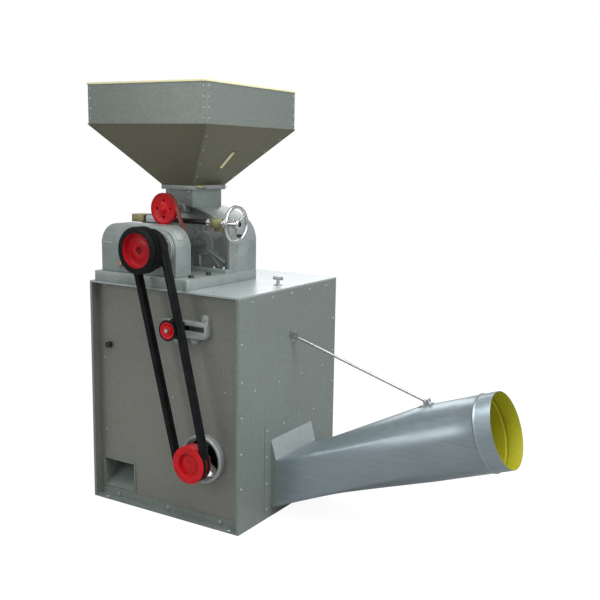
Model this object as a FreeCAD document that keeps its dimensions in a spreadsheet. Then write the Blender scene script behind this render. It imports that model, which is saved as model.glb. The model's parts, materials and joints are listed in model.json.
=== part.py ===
import FreeCAD, Part
import math
import os
import Sketcher

# Coffee huller: a two-roll hulling head with its feed hopper on a sheet-metal cabinet
# that holds the bean chute and the husk fan with its exhaust duct.
# Frame: origin on the floor at the middle of the cabinet, X to the duct side,
# Y to the back, Z up. The belts and pulleys are at the front.

DOC = FreeCAD.newDocument("coffee_huller")
SHEET = DOC.addObject("Spreadsheet::Sheet", "Sizes")
NODES = {}


class Size:
    """A number together with the spreadsheet expression that gives it."""

    def __init__(self, value, text):
        self.value = value
        self.text = text

    def __add__(self, other):
        other = as_size(other)
        return Size(self.value + other.value, "(" + self.text + " + " + other.text + ")")

    def __radd__(self, other):
        return as_size(other) + self

    def __sub__(self, other):
        other = as_size(other)
        return Size(self.value - other.value, "(" + self.text + " - " + other.text + ")")

    def __rsub__(self, other):
        return as_size(other) - self

    def __mul__(self, other):
        other = as_size(other)
        return Size(self.value * other.value, "(" + self.text + " * " + other.text + ")")

    def __rmul__(self, other):
        return as_size(other) * self

    def __truediv__(self, other):
        other = as_size(other)
        return Size(self.value / other.value, "(" + self.text + " / " + other.text + ")")

    def __neg__(self):
        return Size(-self.value, "(0 - " + self.text + ")")


def as_size(number):
    if isinstance(number, Size):
        return number
    number = float(number)
    return Size(number, repr(number) if number >= 0 else "(0 - " + repr(-number) + ")")


def size(alias, value):
    """Writes one driving dimension into the sheet and returns it."""
    row = len(SIZE_ROWS) + 1
    SIZE_ROWS.append(alias)
    SHEET.set("A" + str(row), alias)
    SHEET.set("B" + str(row), str(value))
    SHEET.setAlias("B" + str(row), alias)
    return Size(float(value), "Sizes." + alias)


def root(number):
    """The square root of a size."""
    return Size(math.sqrt(number.value), "sqrt(" + number.text + ")")


def sine(angle):
    return Size(math.sin(math.radians(angle.value)), "sin(" + angle.text + " * 1 deg)")


def cosine(angle):
    return Size(math.cos(math.radians(angle.value)), "cos(" + angle.text + " * 1 deg)")


SIZE_ROWS = []

# Cabinet
cabinet_width = size("cabinet_width", 650)
cabinet_depth = size("cabinet_depth", 620)
cabinet_height = size("cabinet_height", 800)
sheet_metal = size("sheet_metal", 2)
top_plate = size("top_plate", 6)
panel_recess = size("panel_recess", 34)
panel_flange = size("panel_flange", 30)
edge_fold = size("edge_fold", 8)
angle_wall = size("angle_wall", 4)
base_leg_height = size("base_leg_height", 28)
post_leg = size("post_leg", 22)
sill_height = size("sill_height", 40)
rail_leg = size("rail_leg", 30)
foot_hole_radius = size("foot_hole_radius", 7)
foot_hole_x = size("foot_hole_x", 275)
foot_hole_inset = size("foot_hole_inset", 15)

LEFT = -cabinet_width / 2
RIGHT = cabinet_width / 2
FRONT = -cabinet_depth / 2
BACK = cabinet_depth / 2
PANEL_FRONT = FRONT + panel_recess
TOP = cabinet_height

# Bean outlet and the chute behind it
outlet_left = LEFT + size("outlet_inset", 25)
outlet_width = size("outlet_width", 140)
outlet_bottom = size("outlet_bottom", 34)
outlet_height = size("outlet_height", 106)
chute_run = size("chute_run", 430)
chute_rise = size("chute_rise", 300)
chute_wall_height = size("chute_wall_height", 96)
funnel_height = size("funnel_height", 210)
deflector_x = outlet_left + size("deflector_offset", 35)
deflector_z = TOP - size("deflector_drop", 230)
deflector_blade = size("deflector_blade", 110)
stem_radius = size("stem_radius", 6)

# Hulling head on its plinth
plinth_left = LEFT + size("plinth_inset", 17)
plinth_right = plinth_left + size("plinth_width", 418)
plinth_front = FRONT + size("plinth_setback", 6)
plinth_back = plinth_front + size("plinth_depth", 398)
plinth_height = size("plinth_height", 36)
SEAT = cabinet_height + plinth_height

# The head is laid out from a datum on its plinth and from the plinth's top
head_x = plinth_left + size("datum_from_left", 308)
head_y = plinth_front + size("datum_from_front", 304)
plinth_wall = size("plinth_wall", 10)
plinth_opening = size("plinth_opening", 250)
case_left = head_x + size("case_left", -292)
case_width = size("case_width", 338)
case_front = head_y + size("case_front", -283)
case_depth = size("case_depth", 78)
case_height = size("case_height", 170)
case_wall = size("case_wall", 8)
case_corner = size("case_corner", 74)

# Shafts, gears and rolls
main_x = head_x + size("main_x", -18)
main_z = SEAT + size("main_z", 98)
slow_z = SEAT + size("slow_z", 84)
shaft_radius = size("shaft_radius", 15)
shaft_fit = size("shaft_fit", 0.05)
body_gap = size("body_gap", 0.3)
tooth_module = size("tooth_module", 4)
drive_teeth = size("drive_teeth", 24)
driven_teeth = size("driven_teeth", 34)
gear_width = size("gear_width", 30)
gear_backlash = size("gear_backlash", 0.5)
roll_gap = size("roll_gap", 1)
roll_length = size("roll_length", 100)
roll_front = head_y + size("roll_front", -38)
rubber_wall = size("rubber_wall", 15)
gap_travel = size("gap_travel", 4)

# Roll chamber, an arch of three radii
arch_x = head_x + size("arch_x", -92)
arch_half = size("arch_half", 200)
arch_front = head_y + size("arch_front", -70)
arch_depth = size("arch_depth", 162)
arch_top = SEAT + size("arch_top", 230)
arch_crown = size("arch_crown", 300)
arch_shoulder = size("arch_shoulder", 95)
arch_wall = size("arch_wall", 9)
end_wall = size("end_wall", 10)
end_recess = size("end_recess", 18)
rear_recess = size("rear_recess", 16)
REAR_WALL = arch_front + arch_depth - rear_recess - end_wall

# Pulleys and belts
belt_top = size("belt_top", 17)
belt_height = size("belt_height", 11)
belt_pitch = size("belt_pitch", 19)
belt_plane = FRONT - size("belt_stand_off", 37)
main_pulley_radius = size("main_pulley_radius", 78)
fan_step_radius = size("fan_step_radius", 68)
fan_pulley_radius = size("fan_pulley_radius", 64)
pulley_margin = size("pulley_margin", 11.5)
fan_x = RIGHT - size("fan_inset", 164)
fan_z = size("fan_z", 230)
idler_x = fan_x - size("idler_inset", 84)
idler_z = TOP - size("idler_drop", 125)
idler_radius = size("idler_radius", 31)
idler_flange = size("idler_flange", 35)
feed_x = head_x + size("feed_x", -94)
feed_z = SEAT + size("feed_z", 221)
feed_pulley_radius = size("feed_pulley_radius", 51)
feed_drive_radius = size("feed_drive_radius", 20)
flat_belt_wall = size("flat_belt_wall", 4)
flat_belt_width = size("flat_belt_width", 16)
flat_belt_front = head_y + size("flat_belt_front", -182)

# Gap screw and handwheel
screw_y = head_y + size("screw_y", -110)
screw_z = SEAT + size("screw_z", 178)
screw_radius = size("screw_radius", 9)
wheel_x = head_x + size("wheel_x", 166)
wheel_radius = size("wheel_radius", 60)
wheel_rim = size("wheel_rim", 6)

# Throat, gate and hopper
throat_x = head_x + size("throat_x", -102)
throat_width = size("throat_width", 132)
throat_front = head_y + size("throat_front", -90)
throat_depth = size("throat_depth", 168)
throat_wall = size("throat_wall", 8)
throat_top = SEAT + size("throat_top", 294)
gate_slot = size("gate_slot", 7)
gate_plate = size("gate_plate", 3)
hopper_x = head_x + size("hopper_x", -82)
hopper_y = head_y + size("hopper_y", -25)
hopper_width = size("hopper_width", 518)
hopper_depth = size("hopper_depth", 520)
cone_height = size("cone_height", 207)
slot_width = size("slot_width", 24)
slot_rise = size("slot_rise", 56)
band_height = size("band_height", 140)
rim_lip = size("rim_lip", 7)

# Fan, its housing and the exhaust
fan_shaft_radius = size("fan_shaft_radius", 12.5)
ring_radius = size("ring_radius", 84)
ring_opening = size("ring_opening", 66)
ring_turn_angle = size("ring_turn_angle", 40)
ring_depth = size("ring_depth", 26)
impeller_radius = size("impeller_radius", 118)
housing_front = size("housing_front", -100)
housing_depth = size("housing_depth", 218)
scroll_start = size("scroll_start", 134)
scroll_growth = size("scroll_growth", 17.5)
exhaust_y = size("exhaust_y", 9)
exhaust_width = size("exhaust_width", 262)
exhaust_bottom = size("exhaust_bottom", 40)
exhaust_top = size("exhaust_top", 287)
collar_depth = size("collar_depth", 22)
collar_lip_top = size("collar_lip_top", 210)
duct_slope = size("duct_slope", 19.4)
duct_radius = size("duct_radius", 124)
duct_length = size("duct_length", 841)
duct_axis_z = size("duct_axis_z", 143.3)
transition_length = size("transition_length", 190)
strut_drop = size("strut_drop", 176)
saddle_distance = size("saddle_distance", 594)


# Turned copies of the three ways that a profile can face
FACING = {
    "X": FreeCAD.Rotation(FreeCAD.Vector(1, 1, 1), 120),
    "Y": FreeCAD.Rotation(FreeCAD.Vector(1, 0, 0), 90),
    "Z": FreeCAD.Rotation(),
}
WAY = {
    "X": FreeCAD.Vector(1, 0, 0),
    "Y": FreeCAD.Vector(0, 1, 0),
    "Z": FreeCAD.Vector(0, 0, 1),
}
TURN = {
    "X": FreeCAD.Rotation(FreeCAD.Vector(0, 1, 0), 90),
    "Y": FreeCAD.Rotation(FreeCAD.Vector(1, 0, 0), -90),
    "Z": FreeCAD.Rotation(),
}


def bind(item, prop, value):
    """Binds one property of a document object to the sheet."""
    item.setExpression(prop, as_size(value).text)


def place(item, x, y, z):
    """Binds the position of a document object to the sheet."""
    bind(item, "Placement.Base.x", x)
    bind(item, "Placement.Base.y", y)
    bind(item, "Placement.Base.z", z)
    return item


def fresh(kind, name):
    item = DOC.addObject(kind, name)
    item.Label = item.Name
    return item


def box(name, x, y, z, length, width, height):
    item = fresh("Part::Box", name)
    bind(item, "Length", length)
    bind(item, "Width", width)
    bind(item, "Height", height)
    return place(item, x, y, z)


def rod(name, axis, x, y, z, radius, length):
    """A round bar whose near end is at x, y, z and which runs along an axis."""
    item = fresh("Part::Cylinder", name)
    item.Placement = FreeCAD.Placement(FreeCAD.Vector(), TURN[axis])
    bind(item, "Radius", radius)
    bind(item, "Height", length)
    return place(item, x, y, z)


def tube(name, axis, x, y, z, outer, inner, length):
    return cut(name, rod(name + "_outer", axis, x, y, z, outer, length),
               [rod(name + "_inner", axis, x, y, z, inner, length)])


def joined(name, pieces):
    if len(pieces) == 1:
        return pieces[0]
    item = fresh("Part::MultiFuse", name)
    item.Shapes = pieces
    item.Refine = True
    return item


def group(name, pieces):
    """Separate solids that share one node."""
    item = fresh("Part::Compound", name)
    item.Links = pieces
    return item


def cut(name, base, tools):
    item = fresh("Part::Cut", name)
    item.Base = base
    item.Tool = tools[0] if len(tools) == 1 else joined(name + "_tools", tools)
    item.Refine = True
    return item


def common(name, base, tool):
    item = fresh("Part::Common", name)
    item.Base = base
    item.Tool = tool
    return item


def profile(name, points, circles=()):
    """A sketch with one closed outline and round holes, every point tied to the sheet."""
    sketch = fresh("Sketcher::SketchObject", name)
    draw(sketch, points, circles)
    return sketch


def draw(sketch, points, circles=()):
    """Draws a closed outline and circles into a sketch and constrains them."""
    spots = [(as_size(a), as_size(b)) for a, b in points]
    count = len(spots)
    for index in range(count):
        start = FreeCAD.Vector(spots[index][0].value, spots[index][1].value, 0)
        after = (index + 1) % count
        finish = FreeCAD.Vector(spots[after][0].value, spots[after][1].value, 0)
        sketch.addGeometry(Part.LineSegment(start, finish), False)
    for index in range(count):
        after = (index + 1) % count
        sketch.addConstraint(Sketcher.Constraint("Coincident", index, 2, after, 1))
    for index in range(count):
        for way, spot in (("DistanceX", spots[index][0]), ("DistanceY", spots[index][1])):
            tie(sketch, Sketcher.Constraint(way, -1, 1, index, 1, spot.value), spot)
    for across, up, radius in circles:
        across = as_size(across)
        up = as_size(up)
        radius = as_size(radius)
        middle = FreeCAD.Vector(across.value, up.value, 0)
        circle = Part.Circle(middle, FreeCAD.Vector(0, 0, 1), radius.value)
        number = sketch.addGeometry(circle, False)
        tie(sketch, Sketcher.Constraint("DistanceX", -1, 1, number, 3, across.value), across)
        tie(sketch, Sketcher.Constraint("DistanceY", -1, 1, number, 3, up.value), up)
        tie(sketch, Sketcher.Constraint("Radius", number, radius.value), radius)


def tie(sketch, constraint, value):
    number = sketch.addConstraint(constraint)
    sketch.setExpression("Constraints[" + str(number) + "]", value.text)


def extrusion(name, axis, points, start, depth, circles=()):
    """A prism along an axis, from the place called start."""
    sketch = profile(name + "_outline", points, circles)
    sketch.Placement = FreeCAD.Placement(FreeCAD.Vector(), FACING[axis])
    bind(sketch, "Placement.Base." + axis.lower(), start)
    item = fresh("Part::Extrusion", name)
    item.Base = sketch
    item.DirMode = "Custom"
    item.Dir = WAY[axis]
    item.Solid = True
    bind(item, "LengthFwd", depth)
    return item


def rounded(name, base, radius, chosen):
    """Rounds the edges of a solid that the test called chosen picks out."""
    DOC.recompute()
    item = fresh("Part::Fillet", name)
    item.Base = base
    edges = []
    for number, edge in enumerate(base.Shape.Edges, 1):
        if chosen(edge):
            edges.append((number, radius.value, radius.value))
    item.Edges = edges
    return item


def shaped(name, shape):
    item = fresh("Part::Feature", name)
    item.Shape = shape
    return item


def node(name, item):
    """Names a finished sub-part."""
    item.Label = name
    NODES[name] = item
    return item


def body(name):
    item = DOC.addObject("PartDesign::Body", name + "_body")
    NODES[name] = item
    item.Label = name
    return item


def plane_of(owner, role):
    for feature in owner.Origin.OriginFeatures:
        if feature.Role == role:
            return feature
    raise ValueError(role)


def sketch_in(owner, name, role, lift=0):
    sketch = owner.newObject("Sketcher::SketchObject", name)
    sketch.AttachmentSupport = (plane_of(owner, role), [""])
    sketch.MapMode = "FlatFace"
    bind(sketch, "AttachmentOffset.Base.z", lift)
    return sketch


def pad(owner, name, sketch, length):
    item = owner.newObject("PartDesign::Pad", name)
    item.Profile = sketch
    bind(item, "Length", length)
    sketch.Visibility = False
    return item


def pocket(owner, name, sketch, length, reverse=False):
    item = owner.newObject("PartDesign::Pocket", name)
    item.Profile = sketch
    item.Reversed = reverse
    bind(item, "Length", length)
    return item


def polar(owner, name, features, role, count):
    item = owner.newObject("PartDesign::PolarPattern", name)
    item.Originals = features
    item.Axis = (plane_of(owner, role), [""])
    item.Angle = 360
    bind(item, "Occurrences", count)
    owner.Tip = item
    return item


def turned(name, x, z, outline, y=0):
    """A piece turned about an axis along Y: outline gives (place along Y, radius) points."""
    owner = body(name)
    sketch = sketch_in(owner, name + "_section", "XY_Plane")
    draw(sketch, [(radius, along) for along, radius in outline])
    turn = owner.newObject("PartDesign::Revolution", name + "_turn")
    turn.Profile = sketch
    turn.ReferenceAxis = (plane_of(owner, "Y_Axis"), [""])
    turn.Angle = 360
    place(owner, x, y, z)
    return owner


def is_along(edge, axis):
    """True for a straight edge that runs along X, Y or Z."""
    if not isinstance(edge.Curve, Part.Line):
        return False
    direction = edge.Vertexes[-1].Point - edge.Vertexes[0].Point
    return abs(abs(direction.normalize().dot(WAY[axis])) - 1) < 1e-6


def hexagon(name, axis, x, y, z, across_flats, length):
    item = fresh("Part::Prism", name)
    item.Polygon = 6
    item.Placement = FreeCAD.Placement(FreeCAD.Vector(), TURN[axis])
    bind(item, "Circumradius", across_flats / math.sqrt(3))
    bind(item, "Height", length)
    return place(item, x, y, z)


def outside_tangent(first, second):
    """Where the line on the right of the way from circle to circle touches them both."""
    gap_x = second[0] - first[0]
    gap_z = second[1] - first[1]
    length = math.hypot(gap_x, gap_z)
    along = (first[2] - second[2]) / length
    across = math.sqrt(1 - along * along)
    normal_x = (along * gap_x + across * gap_z) / length
    normal_z = (along * gap_z - across * gap_x) / length
    return [FreeCAD.Vector(circle[0] + circle[2] * normal_x, 0, circle[1] + circle[2] * normal_z)
            for circle in (first, second)]


def belt_wire(circles):
    """A belt's closed path round circles (x, z, radius), met in anticlockwise order."""
    count = len(circles)
    runs = [outside_tangent(circles[index], circles[(index + 1) % count]) for index in range(count)]
    edges = []
    for index in range(count):
        arrive = runs[index - 1][1]
        leave = runs[index][0]
        middle = FreeCAD.Vector(circles[index][0], 0, circles[index][1])
        halfway = (arrive - middle) + (leave - middle)
        if halfway.Length < 1e-9:
            halfway = (arrive - middle).cross(FreeCAD.Vector(0, 1, 0))
        bulge = halfway.normalize() * circles[index][2]
        chord = leave - arrive
        outward = (arrive - middle).cross(chord)
        if outward.y > 0:
            bulge = -bulge
        edges.append(Part.Arc(arrive, middle + bulge, leave).toShape())
        edges.append(Part.LineSegment(*runs[index]).toShape())
    return Part.Wire(Part.__sortEdges__(edges))


def offset_circles(circles, step):
    return [(x, z, radius + step) for x, z, radius in circles]


def flat_belt_solid(circles, start, width, wall):
    """A flat band round circles, from start along Y."""
    inner = Part.Face(belt_wire(circles))
    outer = Part.Face(belt_wire(offset_circles(circles, wall)))
    ring = outer.cut(inner)
    ring.translate(FreeCAD.Vector(0, start, 0))
    return ring.extrude(FreeCAD.Vector(0, width, 0))


def v_belt_solid(circles, middle_y):
    """A V belt round circles that give its inner, narrow side."""
    narrow = belt_top.value / 2 - belt_height.value * math.tan(math.radians(20))
    low = belt_wire(circles)
    start = low.Edges[0].firstVertex().Point
    slope = low.Edges[0].tangentAt(low.Edges[0].FirstParameter)
    outward = slope.cross(FreeCAD.Vector(0, 1, 0)).normalize()
    first = FreeCAD.Vector(circles[0][0], 0, circles[0][1])
    if outward.dot(start - first) < 0:
        outward = -outward
    corners = []
    for half, lift in ((-narrow, 0), (narrow, 0), (belt_top.value / 2, belt_height.value),
                       (-belt_top.value / 2, belt_height.value)):
        corners.append(start + outward * lift + FreeCAD.Vector(0, half, 0))
    section = Part.makePolygon(corners + corners[:1])
    solid = low.makePipeShell([section], True, True)
    solid.translate(FreeCAD.Vector(0, middle_y, 0))
    return solid


# Base angles: front and back legs that stand out past the recessed panels, and side sills
def base_angles():
    pieces = []
    for side, lip, leg in (("front", FRONT, PANEL_FRONT - angle_wall), ("back", -PANEL_FRONT, -PANEL_FRONT)):
        length = cabinet_width - 2 * sheet_metal
        foot = box(side + "_foot", LEFT + sheet_metal, lip, 0, length, panel_recess, angle_wall)
        wall = box(side + "_leg", LEFT + sheet_metal, leg, 0, length, angle_wall, base_leg_height)
        holes = []
        for number, across in enumerate((-foot_hole_x, foot_hole_x)):
            place_y = FRONT + foot_hole_inset if side == "front" else BACK - foot_hole_inset
            holes.append(rod(side + "_hole_" + str(number), "Z", across, place_y, -1,
                             foot_hole_radius, angle_wall + 2))
        pieces.append(cut(side + "_angle", joined(side + "_legs", [foot, wall]), holes))
    inside = -2 * (PANEL_FRONT + sheet_metal)
    for side, left in (("left", LEFT + sheet_metal), ("right", RIGHT - sheet_metal - angle_wall)):
        pieces.append(box(side + "_sill", left, PANEL_FRONT + sheet_metal, 0, angle_wall, inside, sill_height))
    node("base_angles", group("base_angle_set", pieces))


def corner_posts():
    height = TOP - top_plate - sill_height
    posts = []
    for side in (-1, 1):
        for end in (-1, 1):
            name = "post_" + ("left" if side < 0 else "right") + ("_front" if end < 0 else "_back")
            corner_x = side * (RIGHT - sheet_metal)
            corner_y = end * (-PANEL_FRONT - sheet_metal)
            points = [(corner_x, corner_y), (corner_x - side * post_leg, corner_y),
                      (corner_x - side * post_leg, corner_y - end * angle_wall),
                      (corner_x - side * angle_wall, corner_y - end * angle_wall),
                      (corner_x - side * angle_wall, corner_y - end * post_leg),
                      (corner_x, corner_y - end * post_leg)]
            posts.append(extrusion(name, "Z", points, sill_height, height))
    return posts


def inner_frame():
    """Posts in the corners and rails under the top plate."""
    under = TOP - top_plate
    rails = []
    inner = RIGHT - sheet_metal - rail_leg
    reach = -PANEL_FRONT - sheet_metal
    for name, middle in (("front_rail", plinth_front + 40), ("back_rail", plinth_back - 10)):
        points = [(middle, under), (middle + rail_leg, under), (middle + rail_leg, under - angle_wall),
                  (middle + angle_wall, under - angle_wall), (middle + angle_wall, under - rail_leg),
                  (middle, under - rail_leg)]
        rails.append(extrusion(name, "X", points, -inner, 2 * inner))
    for name, side in (("left_rail", -1), ("right_rail", 1)):
        edge = side * (RIGHT - sheet_metal)
        start = -reach + post_leg
        points = [(edge, under), (edge - side * rail_leg, under), (edge - side * rail_leg, under - angle_wall),
                  (edge - side * angle_wall, under - angle_wall), (edge - side * angle_wall, under - rail_leg),
                  (edge, under - rail_leg)]
        rails.append(extrusion(name, "Y", points, start, -2 * start))
    node("inner_frame", group("inner_frame_set", corner_posts() + rails))


# Front and back panels are pans: a web with flanges bent outwards along both sides
def pan(name, web_front, flange_front, notch_front, cuts):
    height = TOP - top_plate
    left = LEFT + sheet_metal
    web = box(name + "_web", left, web_front, 0, cabinet_width - 2 * sheet_metal, sheet_metal, height)
    flanges = [box(name + "_flange_left", left, flange_front, 0, sheet_metal, panel_flange, height),
               box(name + "_flange_right", RIGHT - 2 * sheet_metal, flange_front, 0,
                   sheet_metal, panel_flange, height)]
    lifted = joined(name + "_pan", [web] + flanges)
    corner = box(name + "_foot_notch", LEFT, notch_front, -1, cabinet_width, panel_flange + 1,
                 base_leg_height + 1)
    return cut(name + "_sheet", lifted, [corner] + cuts)


def panels():
    outlet = box("outlet_cut", outlet_left, PANEL_FRONT - 1, outlet_bottom, outlet_width,
                 sheet_metal + 2, outlet_height)
    inlet = rod("inlet_cut", "Y", fan_x, PANEL_FRONT - 1, fan_z, ring_opening, sheet_metal + 2)
    stem = rod("stem_cut", "Y", deflector_x, PANEL_FRONT - 1, deflector_z, stem_radius + 0.5, sheet_metal + 2)
    node("front_panel", pan("front", PANEL_FRONT, PANEL_FRONT - panel_flange,
                            PANEL_FRONT - panel_flange - 1, [outlet, inlet, stem]))
    rear_hole = rod("rear_shaft_cut", "Y", fan_x, -PANEL_FRONT - sheet_metal - 1, fan_z,
                    fan_shaft_radius + 8, sheet_metal + 2)
    node("back_panel", pan("back", -PANEL_FRONT - sheet_metal, -PANEL_FRONT, -PANEL_FRONT, [rear_hole]))
    height = TOP - top_plate
    for name, side in (("left_panel", -1), ("right_panel", 1)):
        outer = side * RIGHT
        inner = side * (RIGHT - sheet_metal)
        fold = side * (RIGHT - sheet_metal - edge_fold)
        points = [(outer, FRONT), (outer, BACK), (fold, BACK), (fold, BACK - sheet_metal),
                  (inner, BACK - sheet_metal), (inner, FRONT + sheet_metal),
                  (fold, FRONT + sheet_metal), (fold, FRONT)]
        sheet = extrusion(name + "_sheet", "Z", points, angle_wall, height - angle_wall)
        lower = box(name + "_lower", LEFT if side < 0 else RIGHT - sheet_metal, FRONT, 0,
                    sheet_metal, cabinet_depth, angle_wall)
        whole = joined(name + "_whole", [sheet, lower])
        if side > 0:
            opening = box("exhaust_cut", RIGHT - sheet_metal - 1, exhaust_y - exhaust_width / 2 + sheet_metal,
                          exhaust_bottom + sheet_metal, sheet_metal + 2, exhaust_width - 2 * sheet_metal,
                          exhaust_top - exhaust_bottom - 2 * sheet_metal)
            whole = cut(name + "_cut", whole, [opening])
        node(name, whole)


def drop_opening(name, bottom, height):
    """The way down from the chamber into the cabinet."""
    return box(name, arch_x - plinth_opening / 2, arch_front + end_recess + end_wall + 6, bottom,
               plinth_opening, arch_depth - 2 * (end_recess + end_wall + 6), height)


def top_panel():
    plate = box("top_plate_blank", LEFT, FRONT, TOP - top_plate, cabinet_width, cabinet_depth, top_plate)
    node("top_panel", cut("top_plate_cut", plate, [drop_opening("top_drop", TOP - top_plate - 1, top_plate + 2)]))


def chute_and_funnel():
    back_y = PANEL_FRONT + sheet_metal
    points = [(back_y, outlet_bottom), (back_y + chute_run, outlet_bottom + chute_rise),
              (back_y + chute_run, outlet_bottom + chute_rise + chute_wall_height),
              (back_y, outlet_bottom + chute_wall_height)]
    outer = extrusion("chute_block", "X", points, outlet_left, outlet_width)
    floor = sheet_metal * 1.25
    inside = [(back_y - 1, outlet_bottom + floor - chute_rise / chute_run),
              (back_y + chute_run + 1, outlet_bottom + chute_rise + floor + chute_rise / chute_run),
              (back_y + chute_run + 1, outlet_bottom + chute_rise + chute_wall_height * 2),
              (back_y - 1, outlet_bottom + chute_wall_height * 2)]
    hollow = extrusion("chute_hollow", "X", inside, outlet_left + sheet_metal, outlet_width - 2 * sheet_metal)
    node("outlet_chute", cut("chute_cut", outer, [hollow]))
    under = TOP - top_plate
    half = plinth_opening / 2 + sheet_metal + 4
    front = arch_front + end_recess + end_wall + 6 - sheet_metal - 4
    back = front + arch_depth - 2 * (end_recess + end_wall) - 4 + 2 * sheet_metal
    fall = funnel_height
    mouth = outlet_width / 2 - 8
    centre = outlet_left + outlet_width / 2
    node("receiving_funnel", shaped("funnel", funnel_shell(
        (arch_x - half).value, (arch_x + half).value, front.value, back.value, under.value,
        (centre - mouth).value, (centre + mouth).value, (under - fall).value, sheet_metal.value)))


def funnel_shell(left, right, front, back, top, low_left, low_right, bottom, wall):
    """Four sheets that lead from a wide opening down to a narrow one."""
    def frustum(step):
        wires = []
        for z, west, east in ((top, left, right), (bottom, low_left, low_right)):
            corners = [FreeCAD.Vector(west + step, front + step, z), FreeCAD.Vector(east - step, front + step, z),
                       FreeCAD.Vector(east - step, back - step, z), FreeCAD.Vector(west + step, back - step, z)]
            wires.append(Part.makePolygon(corners + corners[:1]))
        return Part.makeLoft(wires, True, True)
    return frustum(0).cut(frustum(wall))


def deflector():
    """The blade that steers the falling beans, its stem and the knob on the front panel."""
    bush_depth = 24
    bush = tube("stem_bush", "Y", deflector_x, PANEL_FRONT + sheet_metal, deflector_z, stem_radius + 8,
                stem_radius + shaft_fit, bush_depth)
    node("deflector_bush", bush)
    stem = rod("deflector_stem", "Y", deflector_x, PANEL_FRONT - 8, deflector_z, stem_radius, 304)
    knob = rod("deflector_grip", "Y", deflector_x, PANEL_FRONT - 16, deflector_z, 11, 14)
    blade = box("deflector_sheet", deflector_x - 1.5, -60, deflector_z - deflector_blade, 3, 80,
                deflector_blade)
    node("deflector_plate", joined("deflector_parts", [stem, knob, blade]))


# Fan
def scroll_face(step):
    """The scroll in XZ: three quarter turns that widen, closed along the outlet's near side."""
    grow = scroll_growth.value
    centres = [(-grow / 2, grow / 2), (-grow / 2, -grow / 2), (grow / 2, -grow / 2)]
    edges = []
    spots = []
    for quarter, (shift_x, shift_z) in enumerate(centres):
        radius = scroll_start.value + grow * quarter + step
        for turn in (0, 45, 90):
            angle = math.radians(90 * quarter + turn)
            spots.append(FreeCAD.Vector(fan_x.value + shift_x + radius * math.cos(angle), 0,
                                        fan_z.value + shift_z + radius * math.sin(angle)))
        edges.append(Part.Arc(*spots[-3:]).toShape())
    corner = FreeCAD.Vector(spots[0].x, 0, spots[-1].z)
    edges.append(Part.LineSegment(spots[-1], corner).toShape())
    edges.append(Part.LineSegment(corner, spots[0]).toShape())
    return Part.Face(Part.Wire(Part.__sortEdges__(edges))), spots[0].x, spots[-1].z


def scroll_block(step, past):
    """The scroll and its outlet channel as one solid, drawn out by step."""
    start = housing_front.value + sheet_metal.value - step
    depth = housing_depth.value - 2 * sheet_metal.value + 2 * step
    face, tongue, low = scroll_face(step)
    face.translate(FreeCAD.Vector(0, start, 0))
    turns = face.extrude(FreeCAD.Vector(0, depth, 0))
    left = tongue - 2 * step
    high = exhaust_top.value - 2 * sheet_metal.value + step
    channel = Part.makeBox(RIGHT.value - sheet_metal.value + past - left, depth, high - low)
    channel.translate(FreeCAD.Vector(left, start, low))
    return turns.fuse(channel)


def fan_housing():
    depth = housing_depth.value
    shell = scroll_block(sheet_metal.value, 0).cut(scroll_block(0, 5))
    eye = Part.makeCylinder(ring_opening.value + 14, depth + 2,
                            FreeCAD.Vector(fan_x.value, housing_front.value - 1, fan_z.value),
                            FreeCAD.Vector(0, 1, 0))
    node("fan_housing", shaped("scroll", shell.cut(eye)))


def fan_inlet_ring():
    """A cast ring with three arms and a hub that carries the front fan bearing."""
    owner = body("fan_inlet_ring")
    back_y = ring_depth
    rim = sketch_in(owner, "ring_section", "XY_Plane")
    draw(rim, [(ring_radius - 8, 0), (ring_radius - 3, 0), (ring_radius, 4), (ring_radius, back_y),
               (ring_opening, back_y), (ring_opening, back_y - 4), (ring_radius - 12, back_y - 6),
               (ring_radius - 12, 3)])
    turn = owner.newObject("PartDesign::Revolution", "ring_turn")
    turn.Profile = rim
    turn.ReferenceAxis = (plane_of(owner, "Y_Axis"), [""])
    turn.Angle = 360
    hub = sketch_in(owner, "ring_hub_outline", "XZ_Plane", -back_y)
    draw_circles(hub, [(0, 0, 24)])
    pad(owner, "ring_hub", hub, back_y + 4)
    arm = sketch_in(owner, "ring_arm_outline", "XZ_Plane", -back_y)
    draw(arm, [(15, -8), (ring_radius - 8, -6), (ring_radius - 8, 6), (15, 8)])
    arm_pad = pad(owner, "ring_arm", arm, back_y - 12)
    DOC.recompute()
    polar(owner, "ring_arms", [arm_pad], "Y_Axis", 3)
    bore = sketch_in(owner, "ring_bore_outline", "XZ_Plane", 10)
    draw_circles(bore, [(0, 0, fan_shaft_radius + shaft_fit)])
    pocket(owner, "ring_bore", bore, 50)
    place(owner, fan_x, PANEL_FRONT - ring_depth, fan_z)
    owner.Placement.Rotation = FreeCAD.Rotation(FreeCAD.Vector(0, 1, 0), ring_turn_angle.value)


def draw_circles(sketch, circles):
    draw(sketch, [], circles)


def rear_fan_bearing():
    flange = rod("rear_bearing_flange", "Y", fan_x, -PANEL_FRONT, fan_z, 42, 8)
    nose = rod("rear_bearing_nose", "Y", fan_x, -PANEL_FRONT, fan_z, 26, 24)
    bore = rod("rear_bearing_bore", "Y", fan_x, -PANEL_FRONT - 1, fan_z, fan_shaft_radius + shaft_fit, 20)
    node("rear_fan_bearing", cut("rear_bearing", joined("rear_bearing_blank", [flange, nose]), [bore]))


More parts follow.
